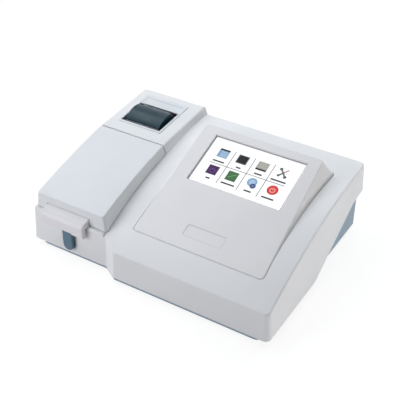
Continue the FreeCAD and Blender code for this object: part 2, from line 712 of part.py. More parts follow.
def sampling_head(outside):
    """Hooded cover of the sampling head, hooked over the front wall."""
    hood = head_profile(HEAD_X)
    hood = round_edges(hood, HEAD_EDGE_R,
                       lambda edge, point: min(abs(point.x - HEAD_X[0]), abs(point.x - HEAD_X[1])) < 0.1)
    pad = head_profile((HEAD_PAD_X, HEAD_X[1]), HEAD_PAD)
    pad = round_edges(pad, HEAD_END_R, lambda edge, point: abs(point.x - HEAD_X[1]) < 0.1)
    pad = pad.common(box((-WIDTH, WIDTH), (-20.0, HEAD_FRONT + 9.0), (HEAD_BOTTOM + 3.0, 200.0)))
    inner_x = (HEAD_X[0] + HEAD_WALL, HEAD_X[1] - HEAD_WALL)
    mouth = box(inner_x, (HEAD_BACK - 6.0, HEAD_BACK + 2.0), (HEAD_BOTTOM + HEAD_WALL, HEAD_SHOULDER + 11.0))
    hollow = fuse([head_profile(inner_x, -HEAD_WALL), mouth])
    shell = fuse([hood, pad]).cut(hollow)
    shell = shell.cut(key_slot())
    ribs = []
    for x in (RIB_X[0] - RIB_T - LOOSE, RIB_X[1] + LOOSE):
        room = box((-WIDTH, WIDTH), (0.0, JOG - LOOSE + 4.0), (KEY_BLADE_TOP + KEY_RISE, 80.0))
        ribs.append(head_profile((x, x + RIB_T), -1.0).common(room))
    shell = fuse([shell] + ribs)
    shell = shell.cut(rod(Vector(-WIDTH, KEY_PIVOT_Y, KEY_PIVOT_Z), X, PIVOT_R, 2 * WIDTH)
                      .common(box((RIB_X[0] - 4.0, RIB_X[1] + 4.0), (0.0, 40.0), (0.0, 90.0))))
    shell = shell.cut(rod(Vector(PROBE_X, PROBE_Y, HEAD_BOTTOM - 1.0), Z, PROBE_R, HEAD_WALL + 2.0))
    wall = box((-WIDTH, WIDTH), (JOG - LOOSE, JOG + 8.0), (0.0, PLINTH_TOP))
    recess = key_prism(RECESS_X, RECESS_BOTTOM, HEAD_SHOULDER - 2.0 - LOOSE, (HEAD_FRONT, JOG + WALL + 3.0))
    wall = wall.cut(recess)
    return shell.cut(outside.cut(recess)).cut(wall)


def key_slot():
    """Slot in the floor of the sampling head that the key hangs through."""
    z = (HEAD_BOTTOM - 2.0, HEAD_BOTTOM + HEAD_WALL + 1.0)
    return box((KEY_X[0] - 0.8, KEY_X[1] + 0.8), (KEY_FRONT - 0.7, JOG + 6.0), z)


def sample_key():
    """Hanging key with a round end, a hub on its pivot and a tail for the switch."""
    back = KEY_FRONT + KEY_THICK
    blade = key_prism(KEY_X, KEY_BOTTOM, KEY_BLADE_TOP, (KEY_FRONT, back))
    blade = round_edges(blade, 1.0,
                        lambda edge, point: abs(point.y - KEY_FRONT) < 0.01 and point.z < HEAD_BOTTOM)
    hub = rod(Vector(RIB_X[0], KEY_PIVOT_Y, KEY_PIVOT_Z), X, KEY_HUB_R, RIB_X[1] - RIB_X[0])
    neck_y = (KEY_PIVOT_Y - KEY_HUB_R, KEY_PIVOT_Y + KEY_HUB_R - 1.0)
    neck = box(RIB_X, neck_y, (KEY_PIVOT_Z - 6.0, KEY_PIVOT_Z))
    inner_x = (KEY_X[0] + KEY_WALL, KEY_X[1] - KEY_WALL)
    hollow = key_prism(inner_x, KEY_BOTTOM + KEY_WALL, KEY_PIVOT_Z - 9.0, (KEY_FRONT + KEY_WALL, back + 1.0))
    middle = (KEY_X[0] + KEY_X[1]) / 2
    tail = box((middle - 2.0, middle + 2.0), (KEY_FRONT + 2.0, TAIL_END), (TAIL_Z - 3.0, TAIL_Z + 3.0))
    key = fuse([blade.cut(hollow), hub, neck, tail])
    return key.cut(rod(Vector(-WIDTH, KEY_PIVOT_Y, KEY_PIVOT_Z), X, PIVOT_R + RUN, 2 * WIDTH))


def key_pivot_pin():
    start = RIB_X[0] - RIB_T - LOOSE
    return rod(Vector(start, KEY_PIVOT_Y, KEY_PIVOT_Z), X, PIVOT_R, RIB_X[1] - RIB_X[0] + 2 * (RIB_T + LOOSE))


def switch_bracket():
    x = (KEY_X[0] - 2.0, KEY_X[1] + 2.0)
    plate = box(x, (BRACKET_Y, BRACKET_Y + SHEET), (TRAY_TOP, TAIL_Z + 8.0))
    foot = box(x, (BRACKET_Y, BAY_Y[0] - BAY_WALL - 0.5), (TRAY_TOP, TRAY_TOP + SHEET))
    return fuse([plate, foot])


def key_switch():
    middle = (KEY_X[0] + KEY_X[1]) / 2
    low = TAIL_Z - 5.0
    body = box((middle - 10.0, middle + 10.0), (BRACKET_Y - SWITCH_T, BRACKET_Y), (low, TAIL_Z + 5.0))
    button = rod(Vector(middle, TAIL_END + BUTTON_GAP, TAIL_Z), Y, 1.2, 1.0)
    terminals = [box((x - 0.5, x + 0.5), (BRACKET_Y - 3.5, BRACKET_Y - 2.7), (low - 4.0, low))
                 for x in (middle - 7.0, middle, middle + 7.0)]
    return fuse([body, button] + terminals)


def aspiration_probe():
    """Steel tube that dips into the sample cup."""
    tube = ring(Vector(PROBE_X, PROBE_Y, PROBE_END_Z), Z, PROBE_R, 0.4, PROBE_TOP_Z - PROBE_END_Z)
    return tube


# Tubes, flow cell and pump in the bay
TUBE_R = 1.1
CELL_X = PUMP_X
CELL_SIDE = 12.0
CELL_FOOT = BAY_FLOOR + 4.0
CELL_TOP = 78.0
BLOCK_SIZE = (40.0, 36.0, 34.0)
CAP_SIDE = 14.0
CAP_Z = (CELL_TOP, CELL_TOP + 7.0)
NIPPLE_X = 3.0
NIPPLE_Z = CELL_TOP + 3.5
NIPPLE = 3.0
PUMP_TUBE_R = 1.5
PUMP_TUBE_ARC = 21.4
PUMP_TUBE_Z = BAY_FLOOR + 11.0
PUMP_TUBE_END = PUMP_Y - 25.0
PUMP_WALL_R = 23.1
PUMP_HIGH = 20.0
ROLLERS = 3
ROLLER_RING = 14.2
ROLLER_R = 5.2
ROLLER_PIN_R = 1.5
ROTOR_R = 17.0
DISC_T = 2.0
ROTOR_Z = BAY_FLOOR + 3.4
ROLLER_Z = (ROTOR_Z + DISC_T + LOOSE, ROTOR_Z + DISC_T + 11.3)
ROTOR_TOP = ROLLER_Z[1] + LOOSE
ROTOR_HIGH = ROTOR_TOP + DISC_T - ROTOR_Z
MOTOR_SIDE = 42.0
MOTOR_H = 24.0
MOTOR_Z = (BAY_FLOOR - BAY_WALL - MOTOR_H, BAY_FLOOR - BAY_WALL)


def bent_rod(points, radius):
    """Round rod or tube along straight runs joined by tangent arcs."""
    corners = [Vector(*p) for p in points]
    edges, last = [], corners[0]
    for i in range(1, len(corners) - 1):
        back, ahead = corners[i - 1] - corners[i], corners[i + 1] - corners[i]
        turn = pi - back.getAngle(ahead)
        bend = 0.45 * min(back.Length, ahead.Length) / tan(turn / 2)
        reach = bend * tan(turn / 2)
        back.normalize()
        ahead.normalize()
        start, end = corners[i] + back * reach, corners[i] + ahead * reach
        inward = (back + ahead).normalize()
        middle = corners[i] + inward * (bend / cos(turn / 2) - bend)
        edges += [Part.makeLine(last, start), Part.Arc(start, middle, end).toShape()]
        last = end
    edges.append(Part.makeLine(last, corners[-1]))
    path = Part.Wire(edges)
    first = (corners[1] - corners[0]).normalize()
    circle = Part.Wire([Part.makeCircle(radius, corners[0], first)])
    return path.makePipeShell([circle], True, True)


def inlet_tube():
    """Thin tube from the probe, over the front wall and into the cell's cap."""
    top = HEAD_SHOULDER + 2.4
    end = (CELL_X - NIPPLE_X, BEAM_Y - CAP_SIDE / 2 - NIPPLE, NIPPLE_Z)
    points = [(PROBE_X, PROBE_Y, PROBE_TOP_Z), (PROBE_X, PROBE_Y + 0.2, top), (PROBE_X, HEAD_BACK, top + 5.2),
              (CELL_X - NIPPLE_X, (HEAD_BACK + end[1]) / 2, NIPPLE_Z), end]
    return bent_rod(points, TUBE_R)


def transfer_tube():
    """Tube from the cell's cap to the pump."""
    x = PUMP_X + PUMP_TUBE_ARC
    start = (CELL_X + NIPPLE_X, BEAM_Y + CAP_SIDE / 2 + NIPPLE, NIPPLE_Z)
    points = [start, (CELL_X + NIPPLE_X, BEAM_Y + 22.0, NIPPLE_Z), (x, PUMP_TUBE_END - 14.0, PUMP_TUBE_Z),
              (x, PUMP_TUBE_END, PUMP_TUBE_Z)]
    return bent_rod(points, TUBE_R)


def pump_tube():
    """Squeezed tube: two straight legs and a half circle round the rollers."""
    r, z = PUMP_TUBE_ARC, PUMP_TUBE_Z
    a, b = Vector(PUMP_X + r, PUMP_TUBE_END, z), Vector(PUMP_X + r, PUMP_Y, z)
    c, d = Vector(PUMP_X - r, PUMP_Y, z), Vector(PUMP_X - r, PUMP_TUBE_END, z)
    bend = Part.Arc(b, Vector(PUMP_X, PUMP_Y + r, z), c).toShape()
    path = Part.Wire([Part.makeLine(a, b), bend, Part.makeLine(c, d)])
    return path.makePipeShell([Part.Wire([Part.makeCircle(PUMP_TUBE_R, a, Y)])], True, True)


def waste_port():
    """Elbow that takes the waste through the floor of the bay."""
    x, y = PUMP_X - PUMP_TUBE_ARC, PUMP_TUBE_END - 6.0
    body = box((x - 4.0, x + 4.0), (y - 4.0, y + 4.0), (BAY_FLOOR, PUMP_TUBE_Z + 4.0))
    body = round_edges(body, 1.5, lambda edge, point: along(edge, Z))
    barb = Part.makeCone(1.9, 1.3, 2.0, Vector(x, y + 4.0, PUMP_TUBE_Z), Y)
    return fuse([body, barb])


def pump_housing():
    x, y = (PUMP_X - 30.0, PUMP_X + 30.0), (PUMP_Y - 22.0, PUMP_Y + 28.0)
    body = box(x, y, (BAY_FLOOR, BAY_FLOOR + PUMP_HIGH))
    body = round_edges(body, 6.0, lambda edge, point: along(edge, Z) and point.y > PUMP_Y)
    low = BAY_FLOOR + 3.0
    pocket = rod(Vector(PUMP_X, PUMP_Y, low), Z, PUMP_WALL_R, PUMP_HIGH)
    throat = box((PUMP_X - PUMP_WALL_R, PUMP_X + PUMP_WALL_R), (y[0] - 1.0, PUMP_Y), (low, low + PUMP_HIGH))
    body = body.cut(pocket).cut(throat)
    return body.cut(rod(Vector(PUMP_X, PUMP_Y, BAY_FLOOR - 1.0), Z, SHAFT_R + 0.5, 6.0))


def roller_spot(i):
    angle = 2 * pi * i / ROLLERS + pi / 2
    return Vector(PUMP_X + ROLLER_RING * cos(angle), PUMP_Y + ROLLER_RING * sin(angle), 0)


def pump_rotor():
    """Two discs on a hub, with the shaft that runs down into the motor."""
    axis = Vector(PUMP_X, PUMP_Y, 0)
    low = rod(axis + Z * ROTOR_Z, Z, ROTOR_R, DISC_T)
    high = rod(axis + Z * ROTOR_TOP, Z, ROTOR_R, DISC_T)
    hub = rod(axis + Z * ROTOR_Z, Z, 6.0, ROTOR_HIGH)
    grip = rod(axis + Z * (ROTOR_TOP + DISC_T), Z, 5.0, 3.0)
    shaft = rod(axis + Z * (MOTOR_Z[0] + 6.0), Z, SHAFT_R, ROTOR_Z - MOTOR_Z[0] - 5.0)
    rotor = fuse([low, high, hub, grip, shaft])
    for i in range(ROLLERS):
        pin_hole = rod(roller_spot(i) + Z * (ROTOR_Z - 1), Z, ROLLER_PIN_R, ROTOR_HIGH + 2)
        rotor = rotor.cut(pin_hole)
        notch = roller_spot(i + 0.5) - axis
        rotor = rotor.cut(rod(axis + notch * 1.5 + Z * (ROTOR_TOP - 1), Z, 9.0, DISC_T + 2))
    return rotor


def roller_pins():
    return group([rod(roller_spot(i) + Z * ROTOR_Z, Z, ROLLER_PIN_R, ROTOR_HIGH) for i in range(ROLLERS)])


def pump_roller(i):
    start = roller_spot(i) + Z * ROLLER_Z[0]
    return ring(start, Z, ROLLER_R, ROLLER_PIN_R + RUN, ROLLER_Z[1] - ROLLER_Z[0])


def pump_motor():
    """Flat stepper motor under the floor of the bay."""
    body = centred(MOTOR_SIDE, MOTOR_SIDE, MOTOR_Z, (PUMP_X, PUMP_Y))
    body = round_edges(body, 4.0, lambda edge, point: along(edge, Z))
    spot = (PUMP_X, PUMP_Y)
    waist = centred(MOTOR_SIDE + 2, MOTOR_SIDE + 2, (MOTOR_Z[0] + 6.0, MOTOR_Z[1] - 6.0), spot)
    core = centred(MOTOR_SIDE - 2, MOTOR_SIDE - 2, (MOTOR_Z[0] + 5.0, MOTOR_Z[1] - 5.0), spot)
    body = body.cut(waist.cut(core))
    return body.cut(rod(Vector(PUMP_X, PUMP_Y, MOTOR_Z[0] + 5.0), Z, SHAFT_R + RUN, MOTOR_H))


def flow_cell_block():
    """Heated block that holds the flow cell in the light path."""
    w, d, h = BLOCK_SIZE
    body = box((CELL_X - w / 2, CELL_X + w / 2), (BEAM_Y - d / 2, BEAM_Y + d / 2), (BAY_FLOOR, BAY_FLOOR + h))
    body = round_edges(body, 1.5, lambda edge, point: along(edge, Z))
    body = body.cut(centred(CELL_SIDE, CELL_SIDE, (CELL_FOOT, 200.0), (CELL_X, BEAM_Y)))
    body = body.cut(beam_rod(CELL_X - w, BEAM_R, 2 * w))
    for y in (BEAM_Y - 13.0, BEAM_Y + 13.0):
        for x in (CELL_X - 15.0, CELL_X + 15.0):
            body = body.cut(rod(Vector(x, y, BAY_FLOOR + h - 3.0), Z, 2.8, 4.0))
    return body


def flow_cell():
    body = centred(CELL_SIDE, CELL_SIDE, (CELL_FOOT, CELL_TOP), (CELL_X, BEAM_Y))
    return body.cut(beam_rod(CELL_X - 4.0, 1.6, 8.0))


def flow_cell_cap():
    """Cap with the two nipples of the cell."""
    body = centred(CAP_SIDE, CAP_SIDE, CAP_Z, (CELL_X, BEAM_Y))
    body = round_edges(body, 1.5, lambda edge, point: along(edge, Z) or point.z > CAP_Z[1] - 0.01)
    edge = CAP_SIDE / 2
    first = rod(Vector(CELL_X - NIPPLE_X, BEAM_Y - edge - NIPPLE, NIPPLE_Z), Y, 0.8, NIPPLE + 1.0)
    second = rod(Vector(CELL_X + NIPPLE_X, BEAM_Y + edge - 1.0, NIPPLE_Z), Y, 0.8, NIPPLE + 1.0)
    return fuse([body, first, second])


def detector_housing():
    x0 = CELL_X - BLOCK_SIZE[0] / 2
    body = box((x0 - 14.0, x0), (BEAM_Y - 12.0, BEAM_Y + 12.0), (BAY_FLOOR, BAY_FLOOR + 28.0))
    body = round_edges(body, 2.0, lambda edge, point: along(edge, Y) and point.x < x0 - 13.0)
    return body.cut(beam_rod(x0 - 5.0, BEAM_R + 1.0, 6.0))


# Light path beside the bay: bench, filter wheel, lens and lamp
BENCH_X = (BAY_X[1] + 10.0, BAY_X[1] + 164.0)
BENCH_Y = (BEAM_Y - 22.0, BEAM_Y + 40.0)
BENCH_T = 4.0
BENCH_TOP = TRAY_TOP + BENCH_T
WHEEL_R = 26.0
WHEEL_RING = 20.0
WHEEL_X = BENCH_X[0] + 39.0
WHEEL_T = 5.0
WHEEL_Y = BEAM_Y + WHEEL_RING
FILTERS = 8
FILTER_R = 4.5
UPRIGHT_X = (WHEEL_X + 8.0, WHEEL_X + 12.0)
FILTER_MOTOR_L = 24.0
FILTER_MOTOR_R = 14.0
BARREL_X = (BENCH_X[0] + 82.0, BENCH_X[0] + 108.0)
BARREL_R = 7.0
LAMP_X = (BARREL_X[1] + 8.0, BARREL_X[1] + 40.0)
LAMP_WIDE = 34.0
LAMP_TOP = 72.0


def optical_bench():
    """Cast base with an upright for the filter motor and a post for the barrel."""
    plate = box(BENCH_X, BENCH_Y, (TRAY_TOP, BENCH_TOP))
    plate = round_edges(plate, 6.0, lambda edge, point: along(edge, Z))
    upright = box(UPRIGHT_X, (BEAM_Y - 12.0, WHEEL_Y + 16.0), (TRAY_TOP, BEAM_Z + 16.0))
    upright = round_edges(upright, 8.0, lambda edge, point: along(edge, X) and point.z > BEAM_Z)
    post = box((BARREL_X[0] + 6.0, BARREL_X[1] - 6.0), (BEAM_Y - 5.0, BEAM_Y + 5.0), (TRAY_TOP, BEAM_Z))
    back = WHEEL_Y + 16.0
    slope = [(back, BENCH_TOP - 1), (back, BENCH_TOP - 0.5), (back - 14.0, BENCH_TOP + 14.0)]
    rib = prism_x(slope, UPRIGHT_X)
    bench = fuse([plate, upright, post, rib]).cut(beam_rod(BARREL_X[0], BARREL_R, BARREL_X[1] - BARREL_X[0]))
    bench = bench.cut(beam_rod(UPRIGHT_X[0] - 1.0, BEAM_R + 1.5, 6.0))
    return bench.cut(rod(Vector(UPRIGHT_X[0] - 1.0, WHEEL_Y, BEAM_Z), X, 4.0, 6.0))


def filter_wheel():
    """Wheel with a ring of filter seats and its own shaft into the motor."""
    centre = Vector(WHEEL_X, WHEEL_Y, BEAM_Z)
    wheel = rod(centre, X, WHEEL_R, WHEEL_T)
    hub = rod(centre, X, 5.0, WHEEL_T + 2.0)
    shaft = rod(centre, X, 1.5, UPRIGHT_X[1] + 12.0 - WHEEL_X)
    wheel = fuse([wheel, hub, shaft])
    for i in range(FILTERS):
        wheel = wheel.cut(rod(filter_spot(i) - X, X, FILTER_R, WHEEL_T + 2.0))
    return wheel


def filter_spot(i):
    angle = 2 * pi * i / FILTERS - pi / 2
    return Vector(WHEEL_X, WHEEL_Y + WHEEL_RING * sin(angle), BEAM_Z + WHEEL_RING * cos(angle))


def colour_filters():
    return group([rod(filter_spot(i) + X, X, FILTER_R, WHEEL_T - 2.0) for i in range(1, FILTERS)])


def filter_motor():
    start = Vector(UPRIGHT_X[1], WHEEL_Y, BEAM_Z)
    can = rod(start, X, FILTER_MOTOR_R, FILTER_MOTOR_L)
    can = round_edges(can, 1.5, lambda edge, point: point.x > UPRIGHT_X[1] + FILTER_MOTOR_L - 0.1)
    boss = rod(start + X * FILTER_MOTOR_L, X, 5.0, 2.0)
    return fuse([can, boss]).cut(rod(start - X, X, 1.5 + RUN, 15.0))


def collimator_barrel():
    length = BARREL_X[1] - BARREL_X[0]
    tube = beam_rod(BARREL_X[0], BARREL_R, length).cut(beam_rod(BARREL_X[0] - 1, 4.0, length + 2))
    return tube.cut(beam_rod(BARREL_X[0] + 4.0, 5.5, 6.0))


def collimator_lens():
    disc = beam_rod(BARREL_X[0] + 4.0, 5.5, 6.0)
    ball = Part.makeSphere(12.0, Vector(BARREL_X[0] + 15.4, BEAM_Y, BEAM_Z))
    return disc.common(ball)


def lamp_housing():
    """Finned housing round the lamp, with a window towards the barrel."""
    y = (BEAM_Y - LAMP_WIDE / 2, BEAM_Y + LAMP_WIDE / 2)
    body = box(LAMP_X, y, (BENCH_TOP, LAMP_TOP))
    middle = (LAMP_X[0] + LAMP_X[1]) / 2
    body = body.cut(rod(Vector(middle, BEAM_Y, BENCH_TOP - 1), Z, 10.0, 90.0))
    body = body.cut(beam_rod(LAMP_X[0] - 1, BEAM_R, 10.0))
    for i in range(5):
        z = BENCH_TOP + 8.0 + 10.0 * i
        for side in (-1, 1):
            edge = BEAM_Y + side * LAMP_WIDE / 2
            fin = sorted((edge - side * 4.5, edge + side))
            body = body.cut(box((LAMP_X[0] - 1, LAMP_X[1] + 1), fin, (z, z + 5.0)))
    return body


def halogen_lamp():
    """Glass capsule on its ceramic foot."""
    middle = (LAMP_X[0] + LAMP_X[1]) / 2
    foot = rod(Vector(middle, BEAM_Y, BENCH_TOP), Z, 9.0, BEAM_Z - BENCH_TOP - 14.0)
    neck = Part.makeCone(5.0, 4.0, 4.0, Vector(middle, BEAM_Y, BEAM_Z - 14.0), Z)
    bulb = rod(Vector(middle, BEAM_Y, BEAM_Z - 10.0), Z, 5.0, 18.0)
    bulb = round_edges(bulb, 4.0, lambda edge, point: point.z > BEAM_Z + 7.9)
    return fuse([foot, neck, bulb])


# Printer, drawn flat with its front edge at y = 0 and then laid on the slope
PRINTER_EDGE = 3.0
PRINTER_SKIRT_W = PRINTER_W - 2 * PRINTER_EDGE
FLANGE_T = 1.4
SKIRT_LOW = -14.0
DOOR_FRONT = 3.6
DOOR_SILL = 6.5
SILL_TOP = -1.0
SILL_T = 2.0
PAPER_SLOT = 1.5
DOOR_BACK = 59.4
DOOR_AXIS = (52.6, -1.5)
DOOR_T = 1.8
DOOR_SKIRT = -6.0
DOOR_PIN_R = 1.0
KNUCKLE_R = 2.4
KNUCKLE_W = 5.4
LUG_SPOTS = (8.5 - DOOR_W / 2, DOOR_W / 2 - 8.5)
PLATEN_L = DOOR_W - 2 * DOOR_SIDE_GAP - 6.0
PLATEN_R = 4.0
PLATEN_Y = 14.2
PLATEN_W = -7.5
AXLE_R = 1.3
EAR_REACH = 2.8
BODY_TOP = -9.0
BODY_WALL = 2.0
BODY_FLOOR = -44.0
BUCKET_END = 57.0
ROLL_Y = 29.0
TEAR_T = 0.5
PRINTER_PLACE = Placement(Vector(PRINTER_X, PRINTER_Y, block_top(PRINTER_Y)), Rotation(X, BLOCK_SLOPE))


def on_printer(shape):
    """Put a piece drawn flat on the slope of the printer housing."""
    placed = shape.copy()
    placed.Placement = PRINTER_PLACE.multiply(placed.Placement)
    return placed


def printer_frame():
    """Frame that drops into the housing and rests on it with its flange."""
    flange = box((-PRINTER_W / 2, PRINTER_W / 2), (0.0, PRINTER_L), (0.0, FLANGE_T))
    flange = round_edges(flange, 1.5, lambda edge, point: along(edge, Z))
    flange = round_edges(flange, 0.7, lambda edge, point: point.z > FLANGE_T - 0.01)
    half = PRINTER_SKIRT_W / 2
    skirt = box((-half, half), (PRINTER_EDGE, PRINTER_L - PRINTER_EDGE), (SKIRT_LOW, 0.0))
    inner_y = (PRINTER_EDGE + 0.5, PRINTER_L - PRINTER_EDGE - 0.5)
    room = box((-half + 0.5, half - 0.5), inner_y, (SKIRT_LOW - 1.0, -1.0))
    frame = fuse([flange, skirt]).cut(room)
    frame = frame.cut(box((-DOOR_W / 2, DOOR_W / 2), (DOOR_FRONT, DOOR_BACK), (-5.0, 5.0)))
    step = round_plate(DOOR_W - 3.0, 17.0, (FLANGE_T - 0.7, 5.0), 1.5, (0.0, DOOR_BACK + 10.0))
    return on_printer(frame.cut(step))


def door_face(inset):
    """Side outline of the bulging door, in the y-z plane at x = 0."""
    front, back = DOOR_FRONT + DOOR_SILL + inset, DOOR_AXIS[0] + 3.0 - inset
    a, b = Vector(0, front, 0.4 - inset), Vector(0, back, 1.8 - inset)
    top = Vector(0, (front + back) / 2, DOOR_BULGE - inset)
    c, d = Vector(0, back, DOOR_SKIRT), Vector(0, front, DOOR_SKIRT)
    sides = [Part.makeLine(b, c), Part.makeLine(c, d), Part.makeLine(d, a)]
    return Part.Face(Part.Wire([Part.Arc(a, top, b).toShape()] + sides))


def printer_door():
    """Smoked, bulging door with its knuckles and the ears for the roller."""
    half = DOOR_W / 2 - DOOR_SIDE_GAP
    outer = door_face(0.0)
    outer.translate(Vector(-half, 0, 0))
    outer = outer.extrude(Vector(2 * half, 0, 0))
    inner = door_face(DOOR_T)
    inner.translate(Vector(-half + DOOR_T, 0, -1.0))
    inner = inner.extrude(Vector(2 * (half - DOOR_T), 0, 0))
    door = outer.cut(inner).cut(inner.translated(Vector(0, 0, -4.0)))
    door = door.cut(box((-half - 1, half + 1), (DOOR_AXIS[0] - 3.4, DOOR_BACK), (DOOR_SKIRT - 1, -0.4)))
    lip = DOOR_FRONT + DOOR_SILL + DOOR_T + 1.0
    door = door.cut(box((-half + DOOR_T, half - DOOR_T), (0.0, lip), (DOOR_SKIRT - 1.0, -1.4)))
    for x in LUG_SPOTS:
        door = door.cut(box((x - 3.6, x + 3.6), (DOOR_AXIS[0] - 4.4, DOOR_BACK), (-8.0, 8.0)))
    axis = Vector(0, DOOR_AXIS[0], DOOR_AXIS[1])
    knuckles = []
    for x in LUG_SPOTS:
        inward = -1 if x > 0 else 1
        start = min(x + inward * 3.6, x + inward * 9.0)
        knuckles.append(rod(Vector(start, axis.y, axis.z), X, KNUCKLE_R, KNUCKLE_W))
        root = box((start, start + KNUCKLE_W), (axis.y - 2.2, axis.y + 1.4), (axis.z, axis.z + 4.0))
        knuckles.append(root.common(outer))
    ears = []
    for side in (-1, 1):
        x = sorted((side * (PLATEN_L / 2 + 0.4), side * (PLATEN_L / 2 + EAR_REACH)))
        ear = box(x, (PLATEN_Y - 3.2, PLATEN_Y + 3.2), (PLATEN_W - 3.0, 12.0)).common(under_door(outer))
        ears.append(ear)
    door = fuse([door] + knuckles + ears)
    door = door.cut(rod(Vector(-60, axis.y, axis.z), X, DOOR_PIN_R + RUN, 120.0))
    bore_start = Vector(-PLATEN_L / 2 - 2.4, PLATEN_Y, PLATEN_W)
    return on_printer(door.cut(rod(bore_start, X, AXLE_R + RUN, PLATEN_L + 4.8)))


def under_door(outer):
    """Room below the door's skin, for what is moulded on its inside."""
    return fuse([outer, box((-60.0, 60.0), (0.0, 60.0), (-30.0, DOOR_SKIRT + 1.0))])


def platen_roller():
    """Rubber roller on its axle, carried by the door."""
    start = Vector(-PLATEN_L / 2, PLATEN_Y, PLATEN_W)
    sleeve = rod(start, X, PLATEN_R, PLATEN_L)
    axle = rod(start - X * 2.2, X, AXLE_R, PLATEN_L + 4.4)
    return on_printer(fuse([sleeve, axle]))


def door_hinge_pin():
    reach = LUG_SPOTS[1] + 3.0
    return on_printer(rod(Vector(-reach, DOOR_AXIS[0], DOOR_AXIS[1]), X, DOOR_PIN_R, 2 * reach))


def body_rim(half, front):
    """Raised side walls of the bucket and the sill in front of the door."""
    back = DOOR_AXIS[0] - 6.0
    walls = []
    for side in (-1, 1):
        x = sorted((side * half, side * (half - BODY_WALL)))
        walls.append(box(x, (front, back), (BODY_TOP - 1.0, SILL_TOP)))
    sill = box((-half, half), (front, DOOR_FRONT + DOOR_SILL - PAPER_SLOT), (SILL_TOP - SILL_T, SILL_TOP))
    wall = box((-half, half), (front, front + BODY_WALL), (BODY_TOP - 1.0, SILL_TOP))
    return fuse(walls + [sill, wall])


def printer_body():
    """Paper bucket of the printer with the two lugs of the door hinge."""
    half = PRINTER_SKIRT_W / 2 - 0.5
    y = (PRINTER_EDGE + 0.5, PRINTER_L - PRINTER_EDGE - 0.5)
    body = box((-half, half), y, (BODY_FLOOR, BODY_TOP))
    inner_x = (-half + BODY_WALL, half - BODY_WALL)
    room = box(inner_x, (y[0] + BODY_WALL, BUCKET_END), (BODY_FLOOR + BODY_WALL, 5.0))
    rear_y = (BUCKET_END + BODY_WALL, y[1] - BODY_WALL)
    rear = box(inner_x, rear_y, (BODY_FLOOR - 1.0, BODY_TOP - BODY_WALL))
    body = body.cut(room).cut(rear)
    body = body.fuse(body_rim(half, y[0]))
    lugs = []
    for x in LUG_SPOTS:
        lug_x = (x - 2.6, x + 2.6)
        front = DOOR_AXIS[0] - 1.8
        lugs.append(rod(Vector(lug_x[0], DOOR_AXIS[0], DOOR_AXIS[1]), X, KNUCKLE_R, lug_x[1] - lug_x[0]))
        lugs.append(box(lug_x, (front, DOOR_AXIS[0] + 1.8), (BODY_TOP - 6.0, DOOR_AXIS[1])))
        lugs.append(box(lug_x, (front, BUCKET_END + 1.0), (BODY_TOP - 6.0, BODY_TOP)))
    body = fuse([body] + lugs)
    return on_printer(body.cut(rod(Vector(-60, DOOR_AXIS[0], DOOR_AXIS[1]), X, DOOR_PIN_R, 120.0)))


def paper_roll():
    """Roll of slip paper resting in the bucket."""
    w = BODY_FLOOR + BODY_WALL + ROLL_R
    roll = ring(Vector(-ROLL_W / 2, ROLL_Y, w), X, ROLL_R, 6.0, ROLL_W)
    return on_printer(roll)


def print_head():
    """Heated bar with its finned carrier on the front wall of the bucket."""
    y0 = PRINTER_EDGE + 0.5 + BODY_WALL
    half = PLATEN_L / 2 + 1.5
    bar = box((-half, half), (y0, PLATEN_Y - PLATEN_R - 1.0), (-16.0, -5.5))
    carrier = box((-half - 2.0, half + 2.0), (y0, y0 + 2.0), (-26.0, -9.5))
    blade_y = DOOR_FRONT + DOOR_SILL - PAPER_SLOT
    blade = box((-half, half), (blade_y, blade_y + TEAR_T), (-8.0, SILL_TOP + 0.4))
    return on_printer(fuse([bar, carrier, blade]))


# Base tray, feet and screws, and the plate, sockets and switch in the rear wall
FOOT_R = 9.0
FOOT_SPOTS = [(LEFT + 40.0, 60.0), (RIGHT - 40.0, 45.0), (LEFT + 40.0, DEPTH - 42.0),
              (RIGHT - 40.0, DEPTH - 47.0)]
FOOT_SINK = 1.0
HEAD_R = 2.8
HEAD_H = 1.5
RIM_W = 4.0
TRAY_INSET = 1.2
TRAY_WALL_LOW = 20.0
TRAY_WALL_TOP = REAR_EDGE_Z + 3.0
PLATE_X = (LEFT + 33.0, LEFT + 147.0)
PLATE_Z = (14.0, 56.0)
PLATE_Y = TRAY_BACK - WALL - SHEET
FAN_X = RIGHT - 87.0
FAN_Z = 44.0
FAN_SIDE = 60.0
FAN_T = 15.0
FAN_BORE = 28.0
SLOT_PITCH = 7.2
SLOT_W = 4.4


def tray_wire(inset, z):
    front = inset_loop(PLAN, TRAY_INSET)
    points = [(-TRAY_X, front[0][1]), front[1], front[2], (TRAY_X, front[3][1]),
              (TRAY_X, TRAY_BACK), (-TRAY_X, TRAY_BACK)]
    front_r = max(12.0 - inset, 1.0)
    rear_r = max(3.0 - inset, 0.5)
    radii = [front_r, 6.0 + inset, 1.0, front_r, rear_r, rear_r]
    return rounded_wire(inset_loop(points, inset), radii, z)


def slab(wire, height):
    return Part.Face(wire).extrude(Vector(0, 0, height))


